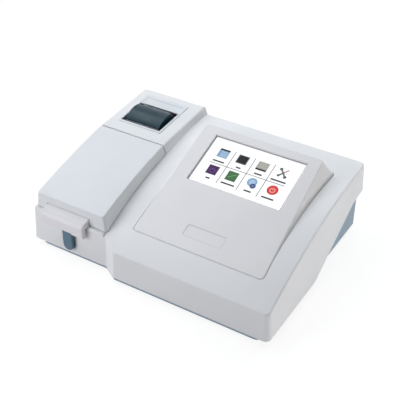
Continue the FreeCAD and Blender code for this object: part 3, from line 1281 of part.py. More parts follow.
def base_tray():
    """Moulded tray: floor, rim, rising side walls and the rear wall."""
    floor = slab(tray_wire(0.0, TRAY_FLOOR), WALL)
    rim = slab(tray_wire(0.0, TRAY_FLOOR), SKIRT_Z - TRAY_FLOOR)
    rim = rim.cut(slab(tray_wire(RIM_W, TRAY_FLOOR - 1), 20.0))
    low_wall = slab(tray_wire(0.0, TRAY_FLOOR), TRAY_WALL_TOP - TRAY_FLOOR)
    low_wall = low_wall.cut(slab(tray_wire(WALL, TRAY_FLOOR - 1), 120.0))
    keep = [(60.0, TRAY_FLOOR - 1), (60.0, TRAY_WALL_LOW), (RISE_START_Y, TRAY_WALL_LOW),
            (RISE_END_Y - 5.0, TRAY_WALL_TOP), (DEPTH, TRAY_WALL_TOP), (DEPTH, TRAY_FLOOR - 1)]
    walls = low_wall.common(prism_x(keep, (-WIDTH, WIDTH)))
    tray = fuse([floor, rim, walls])
    through = (TRAY_BACK - WALL - 1, TRAY_BACK + 1)
    tray = tray.cut(box((PLATE_X[0] + 6.0, PLATE_X[1] - 6.0), through, (PLATE_Z[0] + 5.0, PLATE_Z[1] - 5.0)))
    for i in range(-3, 4):
        off = SLOT_PITCH * i
        tall = sqrt((FAN_BORE - 1.5) ** 2 - off ** 2)
        slot_x = (FAN_X + off - SLOT_W / 2, FAN_X + off + SLOT_W / 2)
        tray = tray.cut(box(slot_x, through, (FAN_Z - tall, FAN_Z + tall)))
    for x, y in SCREW_SPOTS:
        tray = tray.cut(rod(Vector(x, y, TRAY_FLOOR - 1), Z, SCREW_R, 6.0))
        tray = tray.cut(rod(Vector(x, y, TRAY_FLOOR - 1), Z, HEAD_R + 0.4, 1.0 + HEAD_H + 0.1))
    for x, y in FOOT_SPOTS:
        tray = tray.cut(rod(Vector(x, y, TRAY_FLOOR - 1), Z, FOOT_R + 0.1, 1.0 + FOOT_SINK))
    return tray


def cover_screws():
    screws = []
    for x, y in SCREW_SPOTS:
        seat = TRAY_FLOOR + HEAD_H + 0.1
        head = rod(Vector(x, y, seat - HEAD_H), Z, HEAD_R, HEAD_H)
        head = head.cut(centred(3.0, 0.7, (seat - HEAD_H - 1, seat - HEAD_H + 0.8), (x, y)))
        head = head.cut(centred(0.7, 3.0, (seat - HEAD_H - 1, seat - HEAD_H + 0.8), (x, y)))
        screws.append(fuse([head, rod(Vector(x, y, seat), Z, SCREW_R, TRAY_TOP + SCREW_GRIP - seat)]))
    return group(screws)


def rubber_feet():
    feet = []
    for x, y in FOOT_SPOTS:
        foot = rod(Vector(x, y, 0), Z, FOOT_R, FOOT_GAP + FOOT_SINK)
        feet.append(round_edges(foot, 1.2, lambda edge, point: point.z < 0.01))
    return group(feet)


INLET_X = PLATE_X[0] + 24.0
SWITCH_X = INLET_X + 30.0
SERIAL_X = SWITCH_X + 30.0
USB_X = SERIAL_X + 19.5
PORT_Z = 35.0
SWITCH_PIVOT_Y = PLATE_Y + SHEET - 2.0
ROCKER_TILT = 6.0


def rear_plate():
    """Steel plate that carries the mains inlet, the switch and the sockets."""
    plate = box(PLATE_X, (PLATE_Y, PLATE_Y + SHEET), PLATE_Z)
    holes = [((27.0, 20.0), INLET_X), ((19.0, 13.0), SWITCH_X), ((17.0, 9.0), SERIAL_X), ((6.0, 13.2), USB_X)]
    for (w, h), x in holes:
        through = (PLATE_Y - 1, PLATE_Y + SHEET + 1)
        plate = plate.cut(box((x - w / 2, x + w / 2), through, (PORT_Z - h / 2, PORT_Z + h / 2)))
    return plate


def mains_inlet():
    """Three-pole appliance inlet with its flange."""
    out = PLATE_Y + SHEET
    body = box((INLET_X - 13.5, INLET_X + 13.5), (out - 20.0, out), (PORT_Z - 10.0, PORT_Z + 10.0))
    flange = box((INLET_X - 15.5, INLET_X + 15.5), (out, out + 2.2), (PORT_Z - 12.0, PORT_Z + 12.0))
    flange = round_edges(flange, 2.0, lambda edge, point: along(edge, Y))
    inlet = fuse([body, flange])
    mouth = box((INLET_X - 11.5, INLET_X + 11.5), (out - 15.0, out + 5.0), (PORT_Z - 7.5, PORT_Z + 7.5))
    mouth = mouth.makeChamfer(4.0, [e for e in mouth.Edges if along(e, Y) and e.CenterOfMass.z > PORT_Z])
    inlet = inlet.cut(mouth)
    for dx, dz in ((-7.0, -2.0), (0.0, 2.0), (7.0, -2.0)):
        x, z = INLET_X + dx, PORT_Z + dz
        blade = box((x - 1.0, x + 1.0), (out - 16.0, out - 2.0), (z - 2.0, z + 2.0))
        inlet = inlet.fuse(blade)
    return inlet.removeSplitter()


def switch_frame():
    out = PLATE_Y + SHEET
    body = box((SWITCH_X - 9.5, SWITCH_X + 9.5), (out - 16.0, out), (PORT_Z - 6.5, PORT_Z + 6.5))
    flange = box((SWITCH_X - 10.5, SWITCH_X + 10.5), (out, out + 1.6), (PORT_Z - 7.5, PORT_Z + 7.5))
    room = box((SWITCH_X - 8.3, SWITCH_X + 8.3), (out - 9.0, out + 3.0), (PORT_Z - 5.2, PORT_Z + 5.2))
    frame = fuse([body, round_edges(flange, 1.0, lambda edge, point: along(edge, Y))]).cut(room)
    stubs = rod(Vector(SWITCH_X, SWITCH_PIVOT_Y, PORT_Z - 6.0), Z, 1.2, 12.0)
    return fuse([frame, stubs])


def power_rocker():
    """Rocker with two pads that meet at a shallow angle over its pivot."""
    out = PLATE_Y + SHEET
    outline = [(-6.6, 2.2), (0.0, 0.9), (6.6, 2.2), (6.6, -0.2), (2.6, -4.6), (-2.6, -4.6), (-6.6, -0.2)]
    points = [Vector(SWITCH_X + x, out + y, PORT_Z - 4.8) for x, y in outline]
    rocker = Part.Face(Part.makePolygon(points + points[:1])).extrude(Vector(0, 0, 9.6))
    rocker.rotate(Vector(SWITCH_X, SWITCH_PIVOT_Y, 0), Z, ROCKER_TILT)
    return rocker.cut(rod(Vector(SWITCH_X, SWITCH_PIVOT_Y, PORT_Z - 8.0), Z, 1.2 + RUN, 16.0))


def data_ports():
    """Serial socket and an upright universal socket."""
    out = PLATE_Y + SHEET
    shell = box((SERIAL_X - 8.5, SERIAL_X + 8.5), (out - 10.0, out + 2.4), (PORT_Z - 4.5, PORT_Z + 4.5))
    room = box((SERIAL_X - 7.5, SERIAL_X + 7.5), (out - 3.0, out + 4.0), (PORT_Z - 3.5, PORT_Z + 3.5))
    core = box((SERIAL_X - 6.5, SERIAL_X + 6.5), (out - 4.0, out + 1.4), (PORT_Z - 2.4, PORT_Z + 2.4))
    shell = shell.cut(room).fuse(core)
    usb = box((USB_X - 3.0, USB_X + 3.0), (out - 12.0, out + 1.2), (PORT_Z - 6.6, PORT_Z + 6.6))
    usb = usb.cut(box((USB_X - 2.4, USB_X + 2.4), (out - 9.0, out + 3.0), (PORT_Z - 6.0, PORT_Z + 6.0)))
    usb = usb.fuse(box((USB_X - 1.8, USB_X), (out - 10.0, out), (PORT_Z - 5.4, PORT_Z + 5.4)))
    return group([shell.removeSplitter(), usb.removeSplitter()])


# Fan behind the slots of the tray
FAN_BACK = TRAY_BACK - WALL
FAN_HUB_R = 12.0
FAN_AXLE_R = 1.5
FAN_BLADES = 7


def fan_frame():
    """Square frame with a round duct and three struts to the axle."""
    half = FAN_SIDE / 2
    y = (FAN_BACK - FAN_T, FAN_BACK)
    body = box((FAN_X - half, FAN_X + half), y, (FAN_Z - half, FAN_Z + half))
    body = round_edges(body, 3.0, lambda edge, point: along(edge, Y))
    body = body.cut(rod(Vector(FAN_X, y[0] - 1, FAN_Z), Y, FAN_BORE, FAN_T + 2))
    for dx in (-1, 1):
        for dz in (-1, 1):
            body = body.cut(rod(Vector(FAN_X + dx * 25.0, y[0] - 1, FAN_Z + dz * 25.0), Y, 2.1, FAN_T + 2))
    plate = rod(Vector(FAN_X, y[0], FAN_Z), Y, FAN_HUB_R, 2.0)
    struts = []
    for i in range(3):
        strut = box((FAN_X - 1.5, FAN_X + 1.5), (y[0], y[0] + 2.0), (FAN_Z, FAN_Z + FAN_BORE + 1.0))
        strut.rotate(Vector(FAN_X, 0, FAN_Z), Y, 120.0 * i + 20.0)
        struts.append(strut)
    axle = rod(Vector(FAN_X, y[0], FAN_Z), Y, FAN_AXLE_R, FAN_T - 3.0)
    return fuse([body, plate, axle] + struts)


def fan_rotor():
    """Hub with seven slanted blades."""
    y0 = FAN_BACK - FAN_T + 2.5
    long = FAN_T - 4.0
    hub = rod(Vector(FAN_X, y0, FAN_Z), Y, FAN_HUB_R, long)
    hub = hub.cut(ring(Vector(FAN_X, y0 - 1, FAN_Z), Y, FAN_HUB_R - 1.5, 3.5, 6.0))
    ducts = rod(Vector(FAN_X, y0 + 0.5, FAN_Z), Y, FAN_BORE - 1.0, long - 1.0)
    blades = []
    for i in range(FAN_BLADES):
        blade_z = (FAN_Z + FAN_HUB_R - 1.0, FAN_Z + FAN_BORE + 2.0)
        blade = box((FAN_X - 0.7, FAN_X + 0.7), (y0 - 4.0, y0 + long + 4.0), blade_z)
        blade.rotate(Vector(FAN_X, y0 + long / 2, FAN_Z), Z, 42.0)
        blade.rotate(Vector(FAN_X, y0, FAN_Z), Y, 360.0 / FAN_BLADES * i)
        blades.append(blade.common(ducts))
    rotor = fuse([hub] + blades)
    return rotor.cut(rod(Vector(FAN_X, y0 - 1, FAN_Z), Y, FAN_AXLE_R + RUN, long))


# Main board on its stand-offs, and the power supply
BOARD_X = (LEFT + 149.0, LEFT + 287.0)
BOARD_Y = (TRAY_BACK - 170.8, TRAY_BACK - 22.8)
BOARD_Z = TRAY_TOP + 8.0
STAND_R = 3.0


def board_corners():
    rows = (BOARD_Y[0] + 6.0, BOARD_Y[1] - 6.0)
    return [(x, y) for x in (BOARD_X[0] + 6.0, BOARD_X[1] - 6.0) for y in rows]


def main_board():
    """Circuit board with its larger chips, sockets and capacitors."""
    board = box(BOARD_X, BOARD_Y, (BOARD_Z, BOARD_Z + BOARD))
    top = BOARD_Z + BOARD
    x0, y0 = BOARD_X[0], BOARD_Y[0]
    chips = [(30.0, 60.0, 24.0, 24.0, 1.6), (66.0, 62.0, 14.0, 20.0, 1.4), (90.0, 40.0, 12.0, 12.0, 1.4),
             (30.0, 20.0, 10.0, 14.0, 1.4), (104.0, 84.0, 16.0, 12.0, 6.0), (20.0, 118.0, 30.0, 8.0, 9.0),
             (64.0, 120.0, 24.0, 7.0, 9.0), (108.0, 14.0, 12.0, 18.0, 11.0), (60.0, 8.0, 34.0, 6.0, 8.0)]
    pieces = [board]
    for x, y, w, d, h in chips:
        pieces.append(box((x0 + x, x0 + x + w), (y0 + y, y0 + y + d), (top - 0.2, top + h)))
    for x, y in ((96.0, 110.0), (108.0, 110.0), (120.0, 110.0), (112.0, 60.0)):
        pieces.append(rod(Vector(x0 + x, y0 + y, top - 0.2), Z, 4.0, 12.0))
    board = fuse(pieces)
    for x, y in board_corners():
        board = board.cut(rod(Vector(x, y, BOARD_Z - 1), Z, 1.6, 4.0))
    return board


def board_standoffs():
    stands = []
    for x, y in board_corners():
        stands.append(ring(Vector(x, y, TRAY_TOP), Z, STAND_R, 1.25, BOARD_Z - TRAY_TOP))
    return group(stands)


SUPPLY_X = (LEFT + 33.0, LEFT + 129.0)
SUPPLY_Y = (PLATE_Y - 110.0, PLATE_Y - 24.0)
SUPPLY_H = 34.0


def power_supply():
    """Boxed supply with a slotted lid."""
    box_z = (TRAY_TOP, TRAY_TOP + SUPPLY_H)
    case = box(SUPPLY_X, SUPPLY_Y, box_z)
    for i in range(9):
        x = SUPPLY_X[0] + 12.0 + 9.0 * i
        vent_y = (SUPPLY_Y[0] + 14.0, SUPPLY_Y[1] - 14.0)
        case = case.cut(box((x, x + 4.0), vent_y, (box_z[1] - 3.0, box_z[1] + 1)))
    return case


# All pieces
outside = cover_outside()
save("upper_cover", upper_cover(outside))
save("sampling_bay", sampling_bay())
save("printer_housing", printer_housing())
save("display_panel", display_panel())
save("screen_gasket", screen_gasket())
save("touch_glass", touch_glass())
save("lcd_module", lcd_module())
save("display_bracket", display_bracket())
save("flap_cover", flap_cover())
save("flap_hinge_pins", flap_hinge_pins())
save("sampling_head", sampling_head(outside))
save("sample_key", sample_key())
save("key_pivot_pin", key_pivot_pin())
save("key_switch", key_switch())
save("switch_bracket", switch_bracket())
save("aspiration_probe", aspiration_probe())
save("inlet_tube", inlet_tube())
save("flow_cell_block", flow_cell_block())
save("flow_cell", flow_cell())
save("flow_cell_cap", flow_cell_cap())
save("detector_housing", detector_housing())
save("transfer_tube", transfer_tube())
save("pump_tube", pump_tube())
save("waste_port", waste_port())
save("pump_housing", pump_housing())
save("pump_rotor", pump_rotor())
save("roller_pins", roller_pins())
for number in range(ROLLERS):
    save("pump_roller_" + str(number + 1), pump_roller(number))
save("pump_motor", pump_motor())
save("optical_bench", optical_bench())
save("filter_wheel", filter_wheel())
save("colour_filters", colour_filters())
save("filter_motor", filter_motor())
save("collimator_barrel", collimator_barrel())
save("collimator_lens", collimator_lens())
save("lamp_housing", lamp_housing())
save("halogen_lamp", halogen_lamp())
save("printer_frame", printer_frame())
save("printer_door", printer_door())
save("platen_roller", platen_roller())
save("door_hinge_pin", door_hinge_pin())
save("printer_body", printer_body())
save("paper_roll", paper_roll())
save("print_head", print_head())
save("base_tray", base_tray())
save("cover_screws", cover_screws())
save("rubber_feet", rubber_feet())
save("rear_plate", rear_plate())
save("mains_inlet", mains_inlet())
save("switch_frame", switch_frame())
save("power_rocker", power_rocker())
save("data_ports", data_ports())
save("fan_frame", fan_frame())
save("fan_rotor", fan_rotor())
save("main_board", main_board())
save("board_standoffs", board_standoffs())
save("power_supply", power_supply())
print(len(nodes), "pieces")
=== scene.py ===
from math import cos, pi, radians, sin

import bmesh
import bpy
from mathutils import Euler, Matrix, Vector


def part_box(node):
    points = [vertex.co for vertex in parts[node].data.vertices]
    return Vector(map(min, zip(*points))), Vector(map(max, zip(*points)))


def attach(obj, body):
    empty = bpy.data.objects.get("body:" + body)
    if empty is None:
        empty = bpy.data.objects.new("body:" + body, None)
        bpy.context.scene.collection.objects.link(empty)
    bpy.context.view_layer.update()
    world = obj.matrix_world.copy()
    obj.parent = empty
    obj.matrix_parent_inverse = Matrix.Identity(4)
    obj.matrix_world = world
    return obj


# A bench-top chemistry analyzer: pale moulded housing with a tilted touch screen, a flap over its
# sampling bay, a slip printer behind the flap and a blue-grey tray underneath. Metres throughout.
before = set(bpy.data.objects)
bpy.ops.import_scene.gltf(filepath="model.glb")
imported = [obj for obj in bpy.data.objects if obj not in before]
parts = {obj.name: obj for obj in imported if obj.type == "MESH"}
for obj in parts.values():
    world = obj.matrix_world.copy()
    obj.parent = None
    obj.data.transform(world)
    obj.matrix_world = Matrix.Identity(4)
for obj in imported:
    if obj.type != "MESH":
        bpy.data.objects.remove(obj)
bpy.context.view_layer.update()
MM = 0.001

# Camera and room
# A product photograph on plain white, taken from the front right and well above the bench. The
# lens and its place come from fitting the housing's corners to the photograph.
CAMERA_PLACE = Vector((0.5483, -0.89323, 0.8202))
CAMERA_TURN = radians(31.39)
CAMERA_DIP = radians(35.62)
CAMERA_ROLL = radians(0.26)
LENS_MM = 77.12
SENSOR_MM = 36.0
NEAREST = 0.05


def linear(code):
    """sRGB hex to the linear colour that the shaders take."""
    channels = [int(code[i:i + 2], 16) / 255 for i in (1, 3, 5)]
    curve = [c / 12.92 if c <= 0.04045 else ((c + 0.055) / 1.055) ** 2.4 for c in channels]
    return (*curve, 1.0)


def add_node(tree, kind, inputs=None, **settings):
    """Add a shader node; an input is a value or another node's output socket."""
    node = tree.nodes.new(kind)
    for name, value in settings.items():
        setattr(node, name, value)
    for name, value in (inputs or {}).items():
        if isinstance(value, bpy.types.NodeSocket):
            tree.links.new(value, node.inputs[name])
        else:
            node.inputs[name].default_value = value
    return node


def blank(name):
    """Empty node material and its tree."""
    material = bpy.data.materials.new(name)
    material.use_nodes = True
    material.node_tree.nodes.clear()
    return material, material.node_tree


def emit(tree, shader):
    """End a material with its surface shader."""
    add_node(tree, "ShaderNodeOutputMaterial", {"Surface": shader})


def compute(tree, operation, first, second=0.0):
    """One arithmetic step on shader values."""
    return add_node(tree, "ShaderNodeMath", {0: first, 1: second}, operation=operation).outputs[0]


camera_data = bpy.data.cameras.new("bench_camera")
camera_data.lens = LENS_MM
camera_data.sensor_width = SENSOR_MM
camera_data.clip_start = NEAREST
camera = bpy.data.objects.new("bench_camera", camera_data)
bpy.context.scene.collection.objects.link(camera)
aim = Euler((pi / 2 - CAMERA_DIP, 0.0, CAMERA_TURN)).to_matrix().to_4x4()
camera.matrix_world = Matrix.Translation(CAMERA_PLACE) @ aim @ Matrix.Rotation(CAMERA_ROLL, 4, "Z")
bpy.context.scene.camera = camera
bpy.context.scene.view_settings.view_transform = "Standard"


def seen_directly(tree):
    """1 where the camera sees a surface straight, in a mirror or through glass."""
    path = add_node(tree, "ShaderNodeLightPath").outputs
    mirrored = compute(tree, "MAXIMUM", path["Is Camera Ray"], path["Is Glossy Ray"])
    return compute(tree, "MAXIMUM", mirrored, path["Is Transmission Ray"])


# the room gives little light of its own, and shows as pure white
SKY_LIGHT = 0.05
world = bpy.data.worlds.new("white_room")
bpy.context.scene.world = world
world.use_nodes = True
room = world.node_tree
room.nodes.clear()
dim = add_node(room, "ShaderNodeBackground", {"Color": linear("#F4F7FB"), "Strength": SKY_LIGHT})
white = add_node(room, "ShaderNodeBackground", {"Color": linear("#FFFFFF"), "Strength": 1.0})
sky = add_node(room, "ShaderNodeMixShader", {
    0: seen_directly(room), 1: dim.outputs[0], 2: white.outputs[0]})
add_node(room, "ShaderNodeOutputWorld", {"Surface": sky.outputs[0]})

# the bench lights the object as a white top does, but shows only a faint shadow
FLOOR_SIZE = 6.0
FLOOR_LIFT = 0.88
bench, tree = blank("white_bench")
base = add_node(tree, "ShaderNodeBsdfDiffuse", {"Color": linear("#E6E7E8")})
thin = add_node(tree, "ShaderNodeBsdfDiffuse", {"Color": linear("#7F7F7F")})
glow = add_node(tree, "ShaderNodeEmission", {"Color": linear("#FFFFFF"), "Strength": FLOOR_LIFT})
lifted = add_node(tree, "ShaderNodeAddShader", {0: thin.outputs[0], 1: glow.outputs[0]})
top = add_node(tree, "ShaderNodeMixShader", {
    0: seen_directly(tree), 1: base.outputs[0], 2: lifted.outputs[0]})
emit(tree, top.outputs[0])
mesh = bpy.data.meshes.new("bench_top")
half = FLOOR_SIZE / 2
bench_corners = [(-half, -half, 0), (half, -half, 0), (half, half, 0), (-half, half, 0)]
mesh.from_pydata(bench_corners, [], [(0, 1, 2, 3)])
bench_top = bpy.data.objects.new("bench_top", mesh)
bpy.context.scene.collection.objects.link(bench_top)
mesh.materials.append(bench)

# the lamps aim at the middle of the object: name, place, size, power in watts, colour
SUBJECT = Vector((0, 0, 0.06))
SOFTBOXES = [
    ("softbox_back", (0.1, 0.95, 1.0), (1.3, 0.8), 10.0, "#F6FBFF"),
    ("softbox_above_left", (-0.7, 0.05, 1.2), (0.9, 0.9), 7.7, "#F2F8FF"),
    ("softbox_front_left", (-0.95, -1.25, 0.55), (0.9, 0.7), 11.2, "#FBFAFF"),
    ("strip_right", (0.95, -0.05, 0.035), (1.3, 0.06), 3.2, "#FFFDFD"),
]
for name, place, size, power, colour in SOFTBOXES:
    light = bpy.data.lights.new(name, "AREA")
    light.shape = "RECTANGLE"
    light.size, light.size_y = size
    light.energy = power
    light.color = linear(colour)[:3]
    lamp = bpy.data.objects.new(name, light)
    bpy.context.scene.collection.objects.link(lamp)
    lamp.location = place
    lamp.rotation_euler = (SUBJECT - Vector(place)).to_track_quat("-Z", "Y").to_euler()

# Housing: cover, printer housing, flap, sampling head and bay
# Off-white ABS, injection moulded in a spark-eroded tool: a fine even grain that spreads the
# highlights into a soft sheen, with hardly any gloss.
GRAIN = 0.45 * MM
GRAIN_DEPTH = 0.05 * MM
GRAIN_STRENGTH = 0.35
FLOW = 90.0 * MM
FLOW_TONE = (0.975, 1.015)
DULLER, GLOSSIER = 0.07, 0.05
ABS_IOR = 1.53
MILKY = 0.04
MILKY_DEPTH = 1.2 * MM


def spread(tree, value, low, high, middle=(0.3, 0.7)):
    """Stretch a texture's middle values from low to high."""
    inputs = {"Value": value, "From Min": middle[0], "From Max": middle[1], "To Min": low, "To Max": high}
    return add_node(tree, "ShaderNodeMapRange", inputs).outputs[0]


def multiplied(tree, colour, tone):
    """Colour darkened or lightened by a tone."""
    return add_node(tree, "ShaderNodeMix", {"Factor": 1.0, 6: colour, 7: tone},
                    data_type="RGBA", blend_type="MULTIPLY").outputs[2]


def noise(tree, place, size, detail, **more):
    """Noise whose grains have a size in metres."""
    inputs = {"Vector": place, "Scale": 1 / size, "Detail": detail, **more}
    return add_node(tree, "ShaderNodeTexNoise", inputs).outputs["Fac"]


def object_place(tree):
    """Place on the piece, in metres, that textures are laid out by."""
    return add_node(tree, "ShaderNodeTexCoord").outputs["Object"]


def raised(tree, height, strength, depth):
    """Normal bent by a height field of some depth in metres."""
    return add_node(tree, "ShaderNodeBump", {
        "Strength": strength, "Distance": depth, "Height": height}).outputs[0]


def surface(tree, **inputs):
    """Principled surface as the material's output; underscores stand for spaces."""
    named = {name.replace("_", " "): value for name, value in inputs.items()}
    emit(tree, add_node(tree, "ShaderNodeBsdfPrincipled", named).outputs[0])


def dress(material, *names):
    """Give CAD nodes their finish."""
    for name in names:
        slots = parts[name].data.materials
        slots.clear()
        slots.append(material)


def moulded_abs(name, colour, roughness=0.46):
    """Moulded plastic: fine grain in the normals and in the gloss, and a slow drift of tone."""
    material, tree = blank(name)
    place = object_place(tree)
    drift = noise(tree, place, FLOW, 2.0)
    grains = noise(tree, place, GRAIN, 3.0, Roughness=0.6)
    tint = multiplied(tree, linear(colour), spread(tree, drift, *FLOW_TONE))
    sheen = spread(tree, grains, roughness - GLOSSIER, roughness + DULLER, (0.35, 0.65))
    surface(tree, Base_Color=tint, Roughness=sheen, IOR=ABS_IOR,
            Normal=raised(tree, grains, GRAIN_STRENGTH, GRAIN_DEPTH),
            Subsurface_Weight=MILKY, Subsurface_Scale=MILKY_DEPTH, Subsurface_Radius=(1.0, 1.0, 1.0))
    return material


dress(moulded_abs("cover_abs", "#EFEFEF"), "upper_cover", "printer_housing")
dress(moulded_abs("flap_abs", "#E9EBEC"), "flap_cover")
dress(moulded_abs("head_abs", "#EDEBEC", roughness=0.42), "sampling_head")
dress(moulded_abs("bay_abs", "#C4C8CD", roughness=0.5), "sampling_bay")

# Display panel
# The same ABS from its own mould, clipped into a groove of the deck. Its bare nameplate recess is
# shallow, and along its edge a hairline of painted shade darkens the plastic's colour.
PLATE_SIZE = (62.0 * MM, 19.0 * MM)
PLATE_CORNER = 2.5 * MM
PLATE_DROP = 126.5 * MM
HAIRLINE = 0.55 * MM
# darkest tone of the painted shade along the nameplate recess edge
EDGE_SHADE_TONE = 0.62
FACES_UP = 0.5
FLATNESS = 0.001 * MM


def upper_face(name):
    """Centre, across, up and outward directions of a flat node's upper face."""
    data = parts[name].data
    faces = [f for f in data.polygons if f.normal.z > FACES_UP]
    out = max(faces, key=lambda f: f.area).normal.copy()
    level = max(v.co.dot(out) for v in data.vertices)
    corners = [v.co for v in data.vertices if level - v.co.dot(out) < FLATNESS]
    low = Vector([min(c[i] for c in corners) for i in range(3)])
    high = Vector([max(c[i] for c in corners) for i in range(3)])
    across = Vector((1, 0, 0))
    return (low + high) / 2, across, out.cross(across), out


def painted_shade_outline(material, centre, across, up):
    """Paint shade into a moulded plastic along a rounded outline that lies in its surface."""
    tree = material.node_tree
    plastic = next(n for n in tree.nodes if n.type == "BSDF_PRINCIPLED")
    plain = plastic.inputs["Base Color"].links[0].from_socket
    spot = add_node(tree, "ShaderNodeVectorMath", {0: object_place(tree), 1: centre},
                    operation="SUBTRACT").outputs[0]
    past_corner = []
    for direction, size in ((across, PLATE_SIZE[0]), (up, PLATE_SIZE[1])):
        along = add_node(tree, "ShaderNodeVectorMath", {0: spot, 1: direction}, operation="DOT_PRODUCT")
        reach = compute(tree, "ABSOLUTE", along.outputs["Value"])
        past = compute(tree, "SUBTRACT", reach, size / 2 - PLATE_CORNER)
        past_corner.append(compute(tree, "MAXIMUM", past))
    corner = add_node(tree, "ShaderNodeCombineXYZ", {0: past_corner[0], 1: past_corner[1]}).outputs[0]
    length = add_node(tree, "ShaderNodeVectorMath", {0: corner}, operation="LENGTH").outputs["Value"]
    off_line = compute(tree, "ABSOLUTE", compute(tree, "SUBTRACT", length, PLATE_CORNER))
    # painted shade: the plastic's colour darkens towards the outline, darkest right on it
    tone = spread(tree, off_line, EDGE_SHADE_TONE, 1.0, (0.0, HAIRLINE))
    tree.links.new(multiplied(tree, plain, tone), plastic.inputs["Base Color"])


glass_centre, glass_x, glass_y, glass_out = upper_face("touch_glass")
panel_abs = moulded_abs("panel_abs", "#EFEDED", roughness=0.44)
# painted shade along the edge of the panel's nameplate recess
painted_shade_outline(panel_abs, glass_centre - glass_y * PLATE_DROP, glass_x, glass_y)
dress(panel_abs, "display_panel")

# Screen: gasket, touch glass and its picture
# A pale foam gasket behind the window, and a seven-inch touch panel with its menu switched on:
# eight fields of colour on white, parted by thin lines, with plain bars where captions would be.
DUST = 14 * MM
CELL_TONE = (0.9, 1.08)


def gloss(name, colour, roughness, ior=1.5, **more):
    """Smooth dielectric with nothing but its own colour and gloss, plus a trace of dust."""
    material, tree = blank(name)
    dust = noise(tree, object_place(tree), DUST, 4.0)
    haze = spread(tree, dust, roughness * 0.8, roughness * 1.35)
    surface(tree, Base_Color=linear(colour), Roughness=haze, IOR=ior, **more)
    return material


def matt(name, colour, roughness, grain, depth):
    """Dull dielectric with a visible grain, such as foam, rubber or card."""
    material, tree = blank(name)
    cells = noise(tree, object_place(tree), grain, 4.0)
    tint = multiplied(tree, linear(colour), spread(tree, cells, *CELL_TONE))
    surface(tree, Base_Color=tint, Roughness=roughness, IOR=1.5, Normal=raised(tree, cells, 0.5, depth))
    return material


dress(matt("gasket_foam", "#B4B8BC", 0.9, 0.6 * MM, 0.1 * MM), "screen_gasket")

SCREEN_GLOW = 0.96
screen_glass, tree = blank("lit_touch_glass")
surface(tree, Base_Color=linear("#1A1C1F"), Roughness=0.12, IOR=1.5, Specular_IOR_Level=0.3,
        Emission_Color=linear("#FFFFFF"), Emission_Strength=SCREEN_GLOW)
dress(screen_glass, "touch_glass")

# the picture is drawn in flat patches, each layer a hair above the last
LAYER = 0.06 * MM
picture = bmesh.new()
picture_inks = []


def ink(colour):
    """Slot of a colour in the picture, which glows a little as a lit display does."""
    if colour not in picture_inks:
        picture_inks.append(colour)
    return picture_inks.index(colour)


def field(points, colour, layer=1):
    """Flat patch of colour on the glass, from points in millimetres."""
    origin = glass_centre + glass_out * (LAYER * layer)
    corners = [picture.verts.new(origin + glass_x * (x * MM) + glass_y * (y * MM)) for x, y in points]
    picture.faces.new(corners).material_index = ink(colour)


def bar(centre, size, colour, layer=1, turn=0.0):
    """Rectangle, turned by an angle in degrees."""
    c, s = cos(radians(turn)), sin(radians(turn))
    spots = [(dx * size[0] / 2, dy * size[1] / 2) for dx, dy in ((-1, -1), (1, -1), (1, 1), (-1, 1))]
    field([(centre[0] + x * c - y * s, centre[1] + x * s + y * c) for x, y in spots], colour, layer)


def disc(centre, radius, colour, layer=1, sides=40):
    """Round field."""
    field([(centre[0] + radius * cos(2 * pi * i / sides), centre[1] + radius * sin(2 * pi * i / sides))
           for i in range(sides)], colour, layer)


# centres of the eight fields, in millimetres from the middle of the glass
COLUMNS = [-50.2, -17.3, 16.4, 50.0]
UPPER, LOWER = 18.6, -15.2
DIVIDER_GREY = "#4A4E52"
for x in (-33.4, 0.0, 32.8):
    bar((x, -3.0), (1.0, 64.0), DIVIDER_GREY)
bar((0.0, -2.4), (124.6, 1.0), DIVIDER_GREY)

# window with a dark title bar and three pale rows
bar((COLUMNS[0], UPPER), (17.0, 16.4), "#86AACB")
bar((COLUMNS[0], UPPER + 7.0), (17.0, 3.0), "#0E1216", 2)
for dy in (2.6, -1.4, -5.0):
    bar((COLUMNS[0] + 1.2, UPPER + dy), (10.5, 1.3), "#B9D2E8", 2)
    bar((COLUMNS[0] - 6.0, UPPER + dy), (1.6, 1.6), "#5F8FBE", 2)
# black monitor in a grey frame
bar((COLUMNS[1], UPPER), (17.6, 16.4), "#6C7073")
bar((COLUMNS[1], UPPER), (15.0, 13.8), "#020203", 2)
bar((COLUMNS[1] - 1.0, UPPER + 1.2), (8.0, 0.6), "#2C3238", 3)
# grey list with a dark foot
bar((COLUMNS[2], UPPER), (17.6, 15.6), "#A3A49A")
bar((COLUMNS[2], UPPER - 7.0), (17.6, 3.0), "#101316", 2)
for dy in (4.6, 1.2, -2.2):
    bar((COLUMNS[2] + 0.6, UPPER + dy), (12.6, 1.2), "#BDBEB4", 2)
# crossed tools
bar((COLUMNS[3], UPPER), (17.0, 2.6), "#54595D", 1, 52.0)
bar((COLUMNS[3], UPPER), (17.0, 2.6), "#6B7074", 2, 132.0)
bar((COLUMNS[3] + 3.8, UPPER + 4.7), (8.0, 2.4), "#C4A29B", 3, 52.0)
disc((COLUMNS[3] - 5.0, UPPER - 6.2), 2.2, "#54595D")
disc((COLUMNS[3] - 5.4, UPPER + 6.0), 2.6, "#54595D")
disc((COLUMNS[3] + 5.4, UPPER - 6.2), 2.6, "#54595D")
# purple field with a light trace
bar((COLUMNS[0], LOWER), (17.2, 17.0), "#3E1558")
bar((COLUMNS[0] - 2.6, LOWER + 0.8), (6.6, 0.8), "#7E559B", 2, 38.0)
bar((COLUMNS[0] + 2.6, LOWER + 0.8), (6.6, 0.8), "#7E559B", 2, -38.0)
bar((COLUMNS[0], LOWER - 4.4), (11.0, 0.7), "#6B4387", 2)
